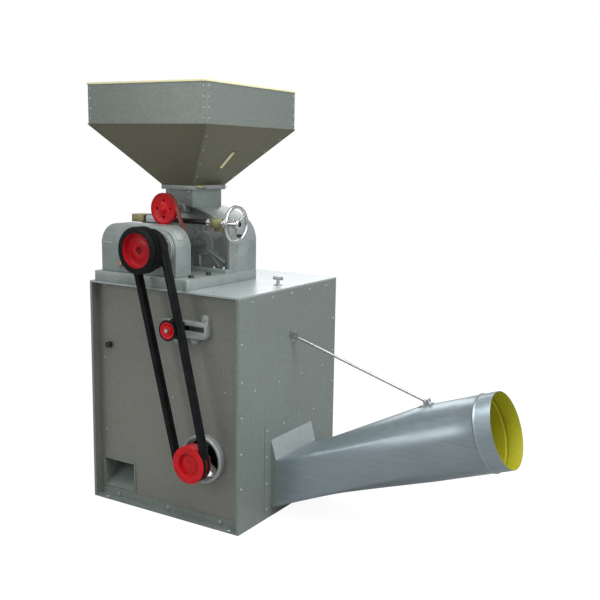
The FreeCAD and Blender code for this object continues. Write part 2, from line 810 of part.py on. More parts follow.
def fan_rotor():
    owner = body("fan_impeller")
    inner = 30
    hub = sketch_in(owner, "impeller_hub_outline", "XZ_Plane")
    draw_circles(hub, [(0, 0, inner), (0, 0, fan_shaft_radius + 0.1)])
    width = housing_depth - 24
    pad(owner, "impeller_hub", hub, width)
    disc = sketch_in(owner, "impeller_disc_outline", "XZ_Plane", width / 2 - 2)
    draw_circles(disc, [(0, 0, impeller_radius * 0.62), (0, 0, inner - 2)])
    pad(owner, "impeller_disc", disc, 4)
    blade = sketch_in(owner, "impeller_blade_outline", "XZ_Plane")
    draw(blade, [(inner - 2, -2), (impeller_radius * 0.7, -2), (impeller_radius, -14),
                 (impeller_radius, -10.5), (impeller_radius * 0.7, 2), (inner - 2, 2)])
    blade_pad = pad(owner, "impeller_blade", blade, width)
    DOC.recompute()
    polar(owner, "impeller_blades", [blade_pad], "Y_Axis", 6)
    place(owner, fan_x, housing_front + housing_depth - 12, fan_z)
    _, face = grooved_pulley("fan_pulley", fan_x, fan_z, [fan_pulley_radius] * 2, fan_shaft_radius + 0.1, 40, 12, 31)
    node("fan_shaft", rod("fan_spindle", "Y", fan_x, face + 3.1, fan_z, fan_shaft_radius, -PANEL_FRONT + 12.4 - face))


def grooved_pulley(name, x, z, radii, bore, recess, depth, hub):
    """A V-belt pulley with a closed hub; radii go from its front groove to its rear one.

    Its rear two grooves lie on the fan belts.
    """
    rear_groove = belt_plane + belt_pitch / 2
    back = rear_groove + pulley_margin
    front = rear_groove - (len(radii) - 1) * belt_pitch - pulley_margin
    face = front + depth
    half_top = belt_top / 2 + 0.35
    half_low = belt_top / 2 + 0.35 - (belt_height + 0.5) * math.tan(math.radians(20))
    outline = [(face - 3, 0), (face - 3, hub), (face, hub), (face, recess), (front, recess),
               (front, radii[0] - 1.5), (front + 1.5, radii[0])]
    for number, radius in enumerate(radii):
        middle = rear_groove - (len(radii) - 1 - number) * belt_pitch
        if number and radii[number - 1] is not radius:
            outline += [(middle - belt_pitch / 2, radii[number - 1]), (middle - belt_pitch / 2, radius)]
        floor = radius - belt_height - 0.5
        outline += [(middle - half_top, radius), (middle - half_low, floor),
                    (middle + half_low, floor), (middle + half_top, radius)]
    outline += [(back - 1.5, radii[-1]), (back, radii[-1] - 1.5), (back, bore), (face + 3, bore), (face + 3, 0)]
    turned(name, x, z, outline)
    return front, face


# Hulling head
def arch_block(name, start, depth, step):
    """The chamber's outline, an arch of three radii on straight sides, drawn in by step."""
    half = arch_half - step
    block = box(name + "_block", arch_x - half, start, SEAT, 2 * half, depth, arch_top - SEAT)
    crown = rod(name + "_crown", "Y", arch_x, start, arch_top - arch_crown, arch_crown - step, depth)
    arch = common(name + "_arch", block, crown)
    spring = SEAT.value + 100
    return rounded(name, arch, arch_shoulder - step,
                   lambda edge: is_along(edge, "Y") and edge.BoundBox.ZMin > spring)


def case_outline(name, start, depth, step):
    """The gear case's outline, a box with two round top corners, drawn in by step."""
    block = box(name + "_block", case_left + step, start, SEAT + step, case_width - 2 * step, depth,
                case_height - 2 * step)
    crown = SEAT.value + 100
    return rounded(name, block, case_corner - step,
                   lambda edge: is_along(edge, "Y") and edge.BoundBox.ZMin > crown)


def head_plinth():
    width = plinth_right - plinth_left
    depth = plinth_back - plinth_front
    outer = box("plinth_block", plinth_left, plinth_front, TOP, width, depth, plinth_height)
    cast = rounded("plinth_cast", outer, size("plinth_corner", 5), lambda edge: is_along(edge, "Z"))
    hollow = box("plinth_hollow", plinth_left + plinth_wall, plinth_front + plinth_wall, TOP - 1,
                 width - 2 * plinth_wall, depth - 2 * plinth_wall, plinth_height - plinth_wall + 1)
    drop = drop_opening("plinth_drop", SEAT - plinth_wall - 1, plinth_wall + 2)
    node("head_plinth", cut("plinth_cut", cast, [hollow, drop]))


def head_fasteners():
    pieces = []
    for number, (along, across) in enumerate(((76, -242), (77, -149), (-280, -170))):
        x = head_x + along
        y = head_y + across
        washer = rod("head_washer_" + str(number), "Z", x, y, SEAT, 11, 2)
        bolt = hexagon("head_bolt_" + str(number), "Z", x, y, SEAT + 2, 17, 8)
        pieces.append(joined("head_fastener_" + str(number), [washer, bolt]))
    collar = rod("drain_collar", "Y", head_x - 202, case_front - 3, SEAT + 29, 11, 3)
    plug = hexagon("drain_hexagon", "Y", head_x - 202, case_front - 9, SEAT + 29, 16, 6)
    pieces.append(joined("drain_plug", [collar, plug]))
    node("head_fasteners", group("head_fastener_set", pieces))


def gear_case():
    outer = case_outline("case_outer", case_front, case_depth - case_wall, 0)
    hollow = case_outline("case_hollow", case_front + case_wall, case_depth, case_wall)
    eye = rod("case_eye", "Y", main_x, case_front - 1, main_z, shaft_radius + 6, case_wall + 2)
    node("gear_case", cut("case_cast", outer, [hollow, eye]))
    back = case_front + case_depth - case_wall
    plate = case_outline("cover_plate", back, case_wall, 0)
    bore = rod("cover_bore", "Y", main_x, back - 1, main_z, shaft_radius + shaft_fit, case_wall + 2)
    slot_low = slow_z - shaft_radius - 2
    slot = box("cover_slot", SLOW_X - shaft_radius - gap_travel - 2, back - 1, slot_low,
               2 * shaft_radius + gap_travel + 4, case_wall + 2, 2 * shaft_radius + 4)
    node("gear_case_cover", cut("cover_cut", plate, [bore, slot]))
    turned("case_bearing_cap", main_x, main_z,
           [(case_front, shaft_radius + shaft_fit), (case_front, 56), (case_front - 5, 56),
            (case_front - 9, 52), (case_front - 11, 32), (case_front - 17, 28),
            (case_front - 17, shaft_radius + shaft_fit)])


BOSS_REACH = arch_front + end_recess + end_wall - (throat_front - 5)


def roll_chamber():
    outer = arch_block("chamber_outer", arch_front, arch_depth, 0)
    foot = box("chamber_foot", arch_x - arch_half, arch_front - 22, SEAT, 2 * arch_half, 24, 14)
    boss_front = rod("boss_front", "Y", feed_x, throat_front - 5, feed_z, 20, BOSS_REACH)
    boss_rear = rod("boss_rear", "Y", feed_x, REAR_WALL, feed_z, 20, 34)
    whole = joined("chamber_blank", [outer, foot, boss_front, boss_rear])
    hollow = arch_block("chamber_hollow", arch_front - 1, arch_depth + 2, arch_wall)
    under = box("chamber_under", arch_x - arch_half + arch_wall, arch_front - 1, SEAT - 1,
                2 * (arch_half - arch_wall), arch_depth + 2, 4)
    # The bosses are cut off where they would close the way down
    way = box("chamber_way", throat_x - 56, throat_front - 5 + BOSS_REACH, arch_top - 40, 108, 108, 80)
    bore = rod("chamber_bore", "Y", feed_x, throat_front - 10, feed_z, 9 + shaft_fit, 210)
    groove = box("chamber_groove", arch_x + arch_half - 3, arch_front + 33, SEAT + 48, 4, 12, 53)
    inner = cut("chamber_inside", hollow, [keep_boss("front"), keep_boss("rear")])
    node("roll_chamber", cut("chamber_cast", whole, [inner, under, way, bore, groove]))


def keep_boss(end):
    """A plug the size of a feed boss, which the hollow leaves standing."""
    start = throat_front - 5 if end == "front" else REAR_WALL
    length = BOSS_REACH if end == "front" else as_size(34)
    return rod("boss_keep_" + end, "Y", feed_x, start, feed_z, 20, length)


def end_walls():
    """Plates that close the chamber's two ends; both bearings sit in them."""
    window_left = SLOW_X - 22.3 - gap_travel - 0.3
    window_width = 44.6 + gap_travel + 0.6
    for name, start in (("front_end_wall", arch_front + end_recess), ("rear_end_wall", REAR_WALL)):
        plate = arch_block(name + "_plate", start, end_wall, arch_wall + 0.2)
        pieces = [plate]
        if name == "front_end_wall":
            hub = rod("wall_hub", "Y", main_x, start - 3, main_z, 44, 3)
            pieces.append(hub)
            for number, (along, up) in enumerate(((-54, 148), (78, 38), (-40, 10), (60, 124), (50, 14))):
                pieces.append(rib("wall_rib_" + str(number), head_x.value + along, SEAT.value + up, start))
            low = box("wall_low_rib", arch_x - 150, start - 5, SEAT + 2, 335, 5, 6)
            pieces.append(low)
        blank = joined(name + "_blank", pieces)
        seat = rod(name + "_seat", "Y", main_x, start - 6, main_z, 26.2, end_wall + 7)
        window = box(name + "_window", window_left, start - 6, slow_z - 22.3, window_width,
                     end_wall + 7, 44.6)
        boss = rod(name + "_boss", "Y", feed_x, start - 6, feed_z, 20.3, end_wall + 7)
        node(name, cut(name + "_cut", blank, [seat, window, boss]))


def rib(name, x, z, start):
    """A straight rib on the end wall from the bearing hub towards a point."""
    gap_x = x - main_x.value
    gap_z = z - main_z.value
    length = math.hypot(gap_x, gap_z)
    side_x = -gap_z / length * 4
    side_z = gap_x / length * 4
    near_x = main_x.value + gap_x * 38 / length
    near_z = main_z.value + gap_z * 38 / length
    points = [(near_x + side_x, near_z + side_z), (near_x - side_x, near_z - side_z),
              (x - side_x, z - side_z), (x + side_x, z + side_z)]
    return extrusion(name, "Y", points, start - 5, 5)


def main_bearings():
    bore = shaft_radius + shaft_fit
    front = arch_front + end_recess
    front_bearing = tube("front_bearing", "Y", main_x, front, main_z, 26, bore, end_wall)
    front_flange = tube("front_flange", "Y", main_x, front - 9, main_z, 36, bore, 6)
    front_neck = tube("front_neck", "Y", main_x, front - 3, main_z, 26, bore, 3)
    rear_bearing = tube("rear_bearing", "Y", main_x, REAR_WALL, main_z, 26, bore, end_wall)
    rear_flange = tube("rear_flange", "Y", main_x, REAR_WALL + end_wall, main_z, 36, bore, 9)
    node("main_bearings", group("main_bearing_pair", [
        joined("front_main_bearing", [front_flange, front_neck, front_bearing]),
        joined("rear_main_bearing", [rear_bearing, rear_flange])]))


def feed_throat():
    outer = box("throat_outer", throat_x - throat_width / 2, throat_front, arch_top - 40, throat_width,
                throat_depth, throat_top - arch_top + 40)
    flange = box("throat_flange", throat_x - throat_width / 2 - 8, throat_front - 8, throat_top - 8,
                 throat_width + 16, throat_depth + 16, 8)
    blank = joined("throat_blank", [rounded("throat_cast", outer, size("throat_corner", 10),
                                            lambda edge: is_along(edge, "Z")), flange])
    inner = box("throat_inner", throat_x - throat_width / 2 + throat_wall, throat_front + throat_wall,
                arch_top - 60, throat_width - 2 * throat_wall, throat_depth - 2 * throat_wall, 160)
    seat = rod("throat_seat", "Y", arch_x, throat_front - 20, arch_top - arch_crown, arch_crown + 0.2, 220)
    bosses = rod("throat_bosses", "Y", feed_x, throat_front - 20, feed_z, 20.3, 220)
    cast = cut("throat_cut", blank, [inner, seat, bosses])
    rails = []
    left = throat_x - throat_width / 2 - 8
    for name, y in (("gate_rail_front", throat_front - 8), ("gate_rail_back", throat_front + throat_depth - 8)):
        rails.append(box(name, left, y, throat_top, throat_width + 16, 16, gate_slot))
    rails.append(box("gate_stop", left, throat_front + 8, throat_top, 13.7, throat_depth - 16, gate_slot))
    node("feed_throat", joined("throat_whole", [cast] + rails))


def feed_gate():
    plate = box("gate_sheet", throat_x - 38, throat_front + 8.4, throat_top + 0.3, 132, throat_depth - 16.8,
                gate_plate)
    lip = box("gate_lip", throat_x + 95, throat_front + 30, throat_top - 3, 3, throat_depth - 60, 12)
    tongue = box("gate_tongue", throat_x + 85, throat_front + 30, throat_top + 0.3, 12,
                 throat_depth - 60, gate_plate)
    node("feed_gate", joined("gate_parts", [plate, lip, tongue]))


def hopper():
    low = (throat_x - 69, throat_front - 8, throat_x + 69, throat_front + throat_depth + 8)
    high = (hopper_x - hopper_width / 2, hopper_y - hopper_depth / 2,
            hopper_x + hopper_width / 2, hopper_y + hopper_depth / 2)
    bottom = throat_top + gate_slot
    top = bottom + cone_height
    shell = open_cone(low, high, bottom.value, top.value, sheet_metal.value)
    slot = Part.makeBox(200, slot_width.value, slot_rise.value)
    slot.translate(FreeCAD.Vector(throat_x.value + 72, hopper_y.value - 7, bottom.value + 64))
    flange = Part.makeBox(throat_width.value + 16, throat_depth.value + 16, 3)
    flange.translate(FreeCAD.Vector(throat_x.value - throat_width.value / 2 - 8, throat_front.value - 8,
                                    bottom.value))
    inside = cone_solid(low, high, bottom.value, top.value, sheet_metal.value)
    node("hopper_cone", shaped("cone", shell.cut(slot).fuse(flange.cut(inside)).removeSplitter()))
    rim = top + band_height
    band = box("band_outer", high[0], high[1], top, hopper_width, hopper_depth, band_height)
    hem = box("band_hem", high[0] - 2, high[1] - 2, rim - rim_lip, hopper_width + 4, hopper_depth + 4, rim_lip)
    inside = box("band_inner", high[0] + sheet_metal, high[1] + sheet_metal, top - 1,
                 hopper_width - 2 * sheet_metal, hopper_depth - 2 * sheet_metal, band_height + 2)
    node("hopper_band", cut("band_sheet", joined("band_blank", [band, hem]), [inside]))


def cone_solid(low, high, bottom, top, step):
    wires = []
    for z, (west, south, east, north) in ((bottom, low), (top, high)):
        corners = [FreeCAD.Vector(as_size(west).value + step, as_size(south).value + step, z),
                   FreeCAD.Vector(as_size(east).value - step, as_size(south).value + step, z),
                   FreeCAD.Vector(as_size(east).value - step, as_size(north).value - step, z),
                   FreeCAD.Vector(as_size(west).value + step, as_size(north).value - step, z)]
        wires.append(Part.makePolygon(corners + corners[:1]))
    return Part.makeLoft(wires, True, True)


def open_cone(low, high, bottom, top, wall):
    """Four sheets, open at both ends."""
    return cone_solid(low, high, bottom, top, 0).cut(cone_solid(low, high, bottom, top, wall))


# Gears, rolls and their shafts
def tooth_points(teeth, radius_in):
    """One involute tooth about local +X, as multiples of the module."""
    number = teeth.value
    pitch = number / 2
    base = pitch * math.cos(math.radians(20))
    start = math.tan(math.radians(20)) - math.radians(20)
    half = math.pi / 4 - gear_backlash.value / 4 / tooth_module.value
    flank = []
    for reach in (radius_in, max(base, pitch - 1.2), pitch - 0.5, pitch, pitch + 0.5, pitch + 1):
        tilt = math.acos(min(1.0, base / max(reach, base)))
        turn = half / pitch + start - (math.tan(tilt) - tilt)
        flank.append((reach * math.cos(turn), reach * math.sin(turn)))
    return [(tooth_module * x, tooth_module * -z) for x, z in flank] + [
        (tooth_module * x, tooth_module * z) for x, z in reversed(flank)]


def gear(name, x, y, z, teeth, angle, bore):
    """A spur gear with one tooth at an angle from +X towards +Z; y is its back face."""
    owner = body(name)
    root_radius = teeth.value / 2 - 1.25
    blank = sketch_in(owner, name + "_blank", "XZ_Plane")
    draw_circles(blank, [(0, 0, tooth_module * root_radius), (0, 0, bore)])
    pad(owner, name + "_disc", blank, gear_width)
    tooth = sketch_in(owner, name + "_tooth_outline", "XZ_Plane")
    draw(tooth, tooth_points(teeth, root_radius - 0.4))
    tooth_pad = pad(owner, name + "_tooth", tooth, gear_width)
    DOC.recompute()
    polar(owner, name + "_teeth", [tooth_pad], "Y_Axis", teeth)
    owner.Placement = FreeCAD.Placement(FreeCAD.Vector(), FreeCAD.Rotation(FreeCAD.Vector(0, 1, 0), -angle))
    place(owner, x, y, z)


def roll(prefix, x, z):
    """A rubber sleeve on a metal core."""
    core = ROLL_RADIUS - rubber_wall
    turned(prefix + "_core", x, z,
           [(roll_front, shaft_radius + 0.1), (roll_front, 26), (roll_front + 8, 26),
            (roll_front + 8, core - 7), (roll_front, core - 7), (roll_front, core),
            (roll_front + roll_length, core), (roll_front + roll_length, core - 7),
            (roll_front + roll_length - 8, core - 7), (roll_front + roll_length - 8, 26),
            (roll_front + roll_length, 26), (roll_front + roll_length, shaft_radius + 0.1)])
    turned(prefix + "_rubber", x, z,
           [(roll_front, core + 0.1), (roll_front, ROLL_RADIUS - 1), (roll_front + 1, ROLL_RADIUS),
            (roll_front + roll_length - 1, ROLL_RADIUS), (roll_front + roll_length, ROLL_RADIUS - 1),
            (roll_front + roll_length, core + 0.1)])


def main_rotor():
    radii = [main_pulley_radius] * 2 + [fan_step_radius] * 2
    _, face = grooved_pulley("main_pulley", main_x, main_z, radii, shaft_radius + 0.1, 56, 18, 30)
    shaft_end = REAR_WALL + 48
    node("main_shaft", rod("main_spindle", "Y", main_x, face + 3.1, main_z, shaft_radius, shaft_end - face - 3.1))
    line = math.degrees(math.atan2((slow_z - main_z).value, (SLOW_X - main_x).value))
    gear("drive_gear", main_x, case_front + 51, main_z, drive_teeth, line, shaft_radius + 0.1)
    gear("driven_gear", SLOW_X, case_front + 51, slow_z, driven_teeth, line + 180 + 180 / driven_teeth.value,
         shaft_radius + 0.1)
    roll("fast_roll", main_x, main_z)
    roll("slow_roll", SLOW_X, slow_z)
    slow_front = case_front + 15
    node("slow_shaft", rod("slow_spindle", "Y", SLOW_X, slow_front, slow_z, shaft_radius, shaft_end - slow_front))
    turned("feed_drive_pulley", main_x, main_z,
           [(flat_belt_front - 2, shaft_radius + 0.1), (flat_belt_front - 2, feed_drive_radius + 3),
            (flat_belt_front - 0.5, feed_drive_radius + 3), (flat_belt_front - 0.5, feed_drive_radius),
            (flat_belt_front + flat_belt_width + 0.5, feed_drive_radius),
            (flat_belt_front + flat_belt_width + 0.5, feed_drive_radius + 3),
            (flat_belt_front + flat_belt_width + 2, feed_drive_radius + 3),
            (flat_belt_front + flat_belt_width + 2, shaft_radius + 0.1)])


def slow_carriage():
    bore = shaft_radius + shaft_fit
    blocks = []
    for name, guide_y, flange_y in (("front", arch_front + end_recess - 0.3, arch_front + end_recess - 9),
                                    ("rear", REAR_WALL + 0.3, REAR_WALL + end_wall + 0.3)):
        guide = box(name + "_guide", SLOW_X - 22, guide_y, slow_z - 22, 44, 10, 44)
        flange = box(name + "_guide_flange", SLOW_X - 28, flange_y, slow_z - 28, 56, 8.7, 56)
        hole = rod(name + "_guide_bore", "Y", SLOW_X, arch_front - 20, slow_z, bore, 200)
        blocks.append(cut(name + "_slow_block", joined(name + "_slow_blank", [guide, flange]), [hole]))
    node("slow_bearing_blocks", group("slow_block_pair", blocks))
    points = [(SLOW_X - 28, slow_z - 28), (SLOW_X + 28, slow_z - 28), (SLOW_X + 28, slow_z + 28),
              (head_x - 236, screw_z + 14), (head_x - 290, screw_z + 14), (head_x - 290, screw_z - 14)]
    plate = extrusion("yoke_plate", "Y", points, arch_front - 14, 12)
    boss = rod("yoke_boss", "Y", SLOW_X, arch_front - 3, slow_z, 26, 12)
    hole = rod("yoke_bore", "Y", SLOW_X, arch_front - 20, slow_z, shaft_radius + 3, 40)
    node("gap_yoke", cut("yoke_cut", joined("yoke_blank", [plate, boss]), [hole]))
    block = box("nut_block", head_x - 290, screw_y - 20, screw_z - 14, 54, 46, 28)
    thread = rod("nut_bore", "X", head_x - 291, screw_y, screw_z, screw_radius + shaft_fit, 56)
    node("gap_nut", cut("nut_cut", block, [thread]))


def gap_screw():
    stem = rod("screw_stem", "X", head_x - 300, screw_y, screw_z, screw_radius, 472)
    sleeve = rod("screw_sleeve", "X", head_x - 231, screw_y, screw_z, 13, 44)
    collar = rod("screw_collar", "X", head_x + 44, screw_y, screw_z, 13, 20.6)
    nose = rod("screw_nose", "X", head_x + 108.4, screw_y, screw_z, 13, 10)
    node("gap_screw", joined("screw_parts", [stem, sleeve, collar, nose]))
    block = box("screw_block", head_x + 65, screw_y - 16, screw_z - 16, 43, 32, 32)
    arm = box("screw_arm", head_x + 70, screw_y, screw_z - 30, 33, 40, 22)
    pad_plate = box("screw_pad", head_x + 60, arch_front - 12, screw_z - 32, 38, 12, 30)
    bore = rod("screw_block_bore", "X", head_x + 60, screw_y, screw_z, screw_radius + shaft_fit, 60)
    node("screw_bearing_block", cut("screw_block_cut", joined("screw_block_blank", [block, arm, pad_plate]),
                                    [bore]))
    rim = fresh("Part::Torus", "wheel_rim_ring")
    rim.Placement = FreeCAD.Placement(FreeCAD.Vector(), TURN["X"])
    bind(rim, "Radius1", wheel_radius)
    bind(rim, "Radius2", wheel_rim)
    place(rim, wheel_x, screw_y, screw_z)
    hub = rod("wheel_hub", "X", wheel_x - 14, screw_y, screw_z, 15, 28)
    pieces = [rim, hub]
    for number in range(3):
        spoke = fresh("Part::Cylinder", "wheel_spoke_" + str(number))
        angle = 180 + 120 * number
        spoke.Placement = FreeCAD.Placement(FreeCAD.Vector(), FreeCAD.Rotation(FreeCAD.Vector(1, 0, 0), angle))
        bind(spoke, "Radius", 4)
        bind(spoke, "Height", wheel_radius)
        pieces.append(place(spoke, wheel_x, screw_y, screw_z))
    bore = rod("wheel_bore", "X", wheel_x - 20, screw_y, screw_z, screw_radius + 0.1, 40)
    node("handwheel", cut("wheel_cut", joined("wheel_blank", pieces), [bore]))
    node("handwheel_knob", rod("wheel_knob", "X", wheel_x + 4, screw_y, screw_z - 38, 8, 15))


def feed_rotor():
    shaft = rod("feed_stem", "Y", feed_x, flat_belt_front - 8, feed_z, 9, REAR_WALL + 40 - flat_belt_front)
    drum = rod("feed_drum", "Y", feed_x, roll_front - 1, feed_z, 22, roll_length + 2)
    bars = [shaft, drum]
    for number in range(8):
        angle = math.radians(45 * number)
        bars.append(rod("feed_flute_" + str(number), "Y", feed_x + 22 * math.cos(angle), roll_front - 1,
                        feed_z + 22 * math.sin(angle), 4, roll_length + 2))
    node("feed_roller", joined("feed_roller_parts", bars))
    owner = body("feed_pulley")
    disc = sketch_in(owner, "feed_disc_outline", "XZ_Plane")
    holes = [(29, 0, 5), (0, 29, 5), (-29, 0, 5), (0, -29, 5)]
    draw_circles(disc, [(0, 0, feed_pulley_radius), (0, 0, 9.1)] + holes)
    pad(owner, "feed_disc", disc, 20)
    flange = sketch_in(owner, "feed_flange_outline", "XZ_Plane", flat_belt_width + 2.3)
    draw_circles(flange, [(0, 0, feed_pulley_radius + flat_belt_wall + 1), (0, 0, feed_pulley_radius - 1)])
    pad(owner, "feed_flange", flange, 1.7)
    face = sketch_in(owner, "feed_face_outline", "XZ_Plane", 20)
    draw_circles(face, [(0, 0, feed_pulley_radius - 5), (0, 0, 16)])
    pocket(owner, "feed_face", face, 1.5)
    place(owner, feed_x, flat_belt_front + flat_belt_width + 2, feed_z)


def idler():
    """The slotted bracket, the block that slides in it and the flanged idler on its pin."""
    low = idler_z - 32
    slot = box("idler_slot", idler_x - 57, PANEL_FRONT - 25, idler_z - 9, 156, 26, 19)
    plate = box("idler_plate", idler_x - 87, PANEL_FRONT - 24, low, 195, 24, 56)
    ears = [rod("idler_ear_high", "Y", idler_x + 94.7, PANEL_FRONT - 14, idler_z + 37, 13, 14),
            rod("idler_ear_low", "Y", idler_x + 48.7, PANEL_FRONT - 14, idler_z - 40.3, 13, 14),
            rod("idler_ear_curved", "Y", idler_x - 17, PANEL_FRONT - 14, idler_z - 41, 22, 14),
            box("idler_ear_neck", idler_x + 82.5, PANEL_FRONT - 14, idler_z + 15, 24.4, 14, 22)]
    blank = rounded("idler_plate_cast", plate, size("idler_corner", 16), lambda edge: is_along(edge, "Y"))
    node("idler_bracket", cut("idler_bracket_cut", joined("idler_bracket_blank", [blank] + ears), [slot]))
    reach = belt_pitch / 2 + belt_top / 2 + body_gap
    front = belt_plane - reach - 3
    back = belt_plane + reach + 3
    guide = box("idler_guide", idler_x - 19, PANEL_FRONT - 24.3, idler_z - 8.7, 38, 22, 18.4)
    head = box("idler_head", idler_x - 19, PANEL_FRONT - 32.3, idler_z - 20, 38, 8, 41)
    pin = rod("idler_pin", "Y", idler_x, front - 2, idler_z, 8, PANEL_FRONT - 28.3 - front + 2)
    node("idler_block", joined("idler_block_parts", [guide, head, pin]))
    bore = 8 + shaft_fit
    turned("idler_pulley", idler_x, idler_z,
           [(front, bore), (front, 14), (front + 6, 14), (front + 6, 21), (front, 23), (front, idler_flange),
            (front + 3, idler_flange), (front + 3, idler_radius), (back - 3, idler_radius),
            (back - 3, idler_flange), (back, idler_flange), (back, bore)])


def belts():
    clear = body_gap.value
    v_path = [(main_x.value, main_z.value, fan_step_radius.value - belt_height.value),
              (fan_x.value, fan_z.value, fan_pulley_radius.value - belt_height.value),
              (idler_x.value, idler_z.value, idler_radius.value + clear)]
    pair = [v_belt_solid(v_path, belt_plane.value - belt_pitch.value / 2),
            v_belt_solid(v_path, belt_plane.value + belt_pitch.value / 2)]
    node("v_belts", shaped("v_belt_pair", Part.makeCompound(pair)))
    flat_path = [(main_x.value, main_z.value, feed_drive_radius.value + clear),
                 (feed_x.value, feed_z.value, feed_pulley_radius.value + clear)]
    node("flat_belt", shaped("flat_belt_band", flat_belt_solid(
        flat_path, flat_belt_front.value, flat_belt_width.value, flat_belt_wall.value)))


# Exhaust duct with its collar and strut
def rounded_square(x, y_low, y_high, z_low, z_high, corner):
    """A closed outline in a plane across X, four straight sides and four round corners."""
    edges = []
    spots = ((y_high - corner, z_high - corner, 0), (y_low + corner, z_high - corner, 90),
             (y_low + corner, z_low + corner, 180), (y_high - corner, z_low + corner, 270))
    ends = []
    for y, z, start in spots:
        arc = [FreeCAD.Vector(x, y + corner * math.cos(math.radians(start + turn)),
                              z + corner * math.sin(math.radians(start + turn))) for turn in (0, 45, 90)]
        ends.append(arc)
    for index, arc in enumerate(ends):
        edges.append(Part.Arc(*arc).toShape())
        edges.append(Part.LineSegment(arc[2], ends[(index + 1) % 4][0]).toShape())
    return Part.Wire(edges)


def duct_ring(radius, distance):
    """A circle across the duct's axis, in eight arcs that match the square's eight edges."""
    slope = math.radians(duct_slope.value)
    along = FreeCAD.Vector(math.cos(slope), 0, math.sin(slope))
    rise = FreeCAD.Vector(-math.sin(slope), 0, math.cos(slope))
    middle = FreeCAD.Vector(RIGHT.value, exhaust_y.value, duct_axis_z.value) + along * distance
    edges = []

    def spot(angle):
        turn = math.radians(angle)
        return middle + (FreeCAD.Vector(0, 1, 0) * math.cos(turn) + rise * math.sin(turn)) * radius

    for quarter in range(4):
        start = 90 * quarter + 35
        edges.append(Part.Arc(spot(start), spot(start + 10), spot(start + 20)).toShape())
        edges.append(Part.Arc(spot(start + 20), spot(start + 55), spot(start + 90)).toShape())
    return Part.Wire(edges)


def duct_solid(step, start_more, end_more):
    slope = math.radians(duct_slope.value)
    along = FreeCAD.Vector(math.cos(slope), 0, math.sin(slope))
    half = exhaust_width.value / 2 - step
    mouth = rounded_square(RIGHT.value + collar_depth.value, exhaust_y.value - half, exhaust_y.value + half,
                           exhaust_bottom.value - 2 + step, collar_lip_top.value - step, 12 - step)
    reach = transition_length.value
    ring = duct_ring(duct_radius.value - step, reach)
    solid = Part.makeLoft([mouth, ring], True, True)
    middle = FreeCAD.Vector(RIGHT.value, exhaust_y.value, duct_axis_z.value) + along * reach
    pipe = Part.makeCylinder(duct_radius.value - step, duct_length.value - reach + end_more, middle, along)
    pieces = [solid, pipe]
    if start_more:
        shaft = Part.Face(mouth).extrude(FreeCAD.Vector(-start_more, 0, 0))
        pieces.append(shaft)
    return pieces, middle, along


def exhaust_duct():
    outer, middle, along = duct_solid(0, 0, 0)
    inner, _, _ = duct_solid(sheet_metal.value, 4, 4)
    bead_at = middle + along * (duct_length.value - transition_length.value - 60)
    bead = Part.makeCylinder(duct_radius.value + 3, 8, bead_at, along)
    solid = outer[0].fuse(outer[1:] + [bead])
    for piece in inner:
        solid = solid.cut(piece)
    node("exhaust_duct", shaped("duct", solid))


def duct_collar():
    flange = box("collar_flange", RIGHT, exhaust_y - exhaust_width / 2 - 38, 24, 2, exhaust_width + 72, 310)
    points = [(RIGHT, exhaust_bottom - 2), (RIGHT + collar_depth, exhaust_bottom - 2),
              (RIGHT + collar_depth, collar_lip_top), (RIGHT, exhaust_top)]
    block = extrusion("collar_block", "Y", points, exhaust_y - exhaust_width / 2, exhaust_width)
    step = sheet_metal
    inside = [(RIGHT - 1, exhaust_bottom - 2 + step), (RIGHT + collar_depth + 1, exhaust_bottom - 2 + step),
              (RIGHT + collar_depth + 1, collar_lip_top - step - 4), (RIGHT - 1, exhaust_top - step)]
    hollow = extrusion("collar_hollow", "Y", inside, exhaust_y - exhaust_width / 2 + step,
                       exhaust_width - 2 * step)
    node("duct_collar", cut("collar_sheet", joined("collar_blank", [flange, block]), [hollow]))


def duct_point(distance, lift):
    """A point on the duct's upper middle line, at a distance along its axis and a lift off it."""
    slope = math.radians(duct_slope.value)
    along = FreeCAD.Vector(math.cos(slope), 0, math.sin(slope))
    rise = FreeCAD.Vector(-math.sin(slope), 0, math.cos(slope))
    return FreeCAD.Vector(RIGHT.value, exhaust_y.value, duct_axis_z.value) + along * distance + rise * lift


def duct_strut():
    """A rod from an eye on the cabinet's side to the saddle on the duct."""
    height = TOP - strut_drop
    eye_x = RIGHT + 16
    start = FreeCAD.Vector(eye_x.value + 2, exhaust_y.value, height.value - 2.5)
    saddle = duct_point(saddle_distance.value, duct_radius.value - 1.2)
    bend = saddle + FreeCAD.Vector(-10.5, 0, 16.6)
    finish = saddle + FreeCAD.Vector(-2.2, 0, 8.1)
    pieces = []
    for first, second in ((start, bend), (bend, finish)):
        way = second - first
        pieces.append(Part.makeCylinder(5, way.Length, first, way))
    pieces.append(Part.makeSphere(5, bend))
    middle = FreeCAD.Vector(eye_x.value, exhaust_y.value - 4, height.value)
    eye = Part.makeCylinder(12, 8, middle, FreeCAD.Vector(0, 1, 0))
    solid = eye.fuse(pieces)
    hole = Part.makeCylinder(4.3, 20, middle - FreeCAD.Vector(0, 6, 0), FreeCAD.Vector(0, 1, 0))
    node("duct_strut", shaped("strut", solid.cut(hole)))
    plate = box("strut_plate", RIGHT, exhaust_y - 18, height - 20, 3, 36, 40)
    ears = [box("strut_ear_near", RIGHT + 2, exhaust_y - 9.5, height - 10, 26, 4, 20),
            box("strut_ear_far", RIGHT + 2, exhaust_y + 5.5, height - 10, 26, 4, 20)]
    pin = rod("strut_pin", "Y", eye_x, exhaust_y - 12, height, 4, 24)
    node("strut_bracket", joined("strut_bracket_parts", [plate, pin] + ears))


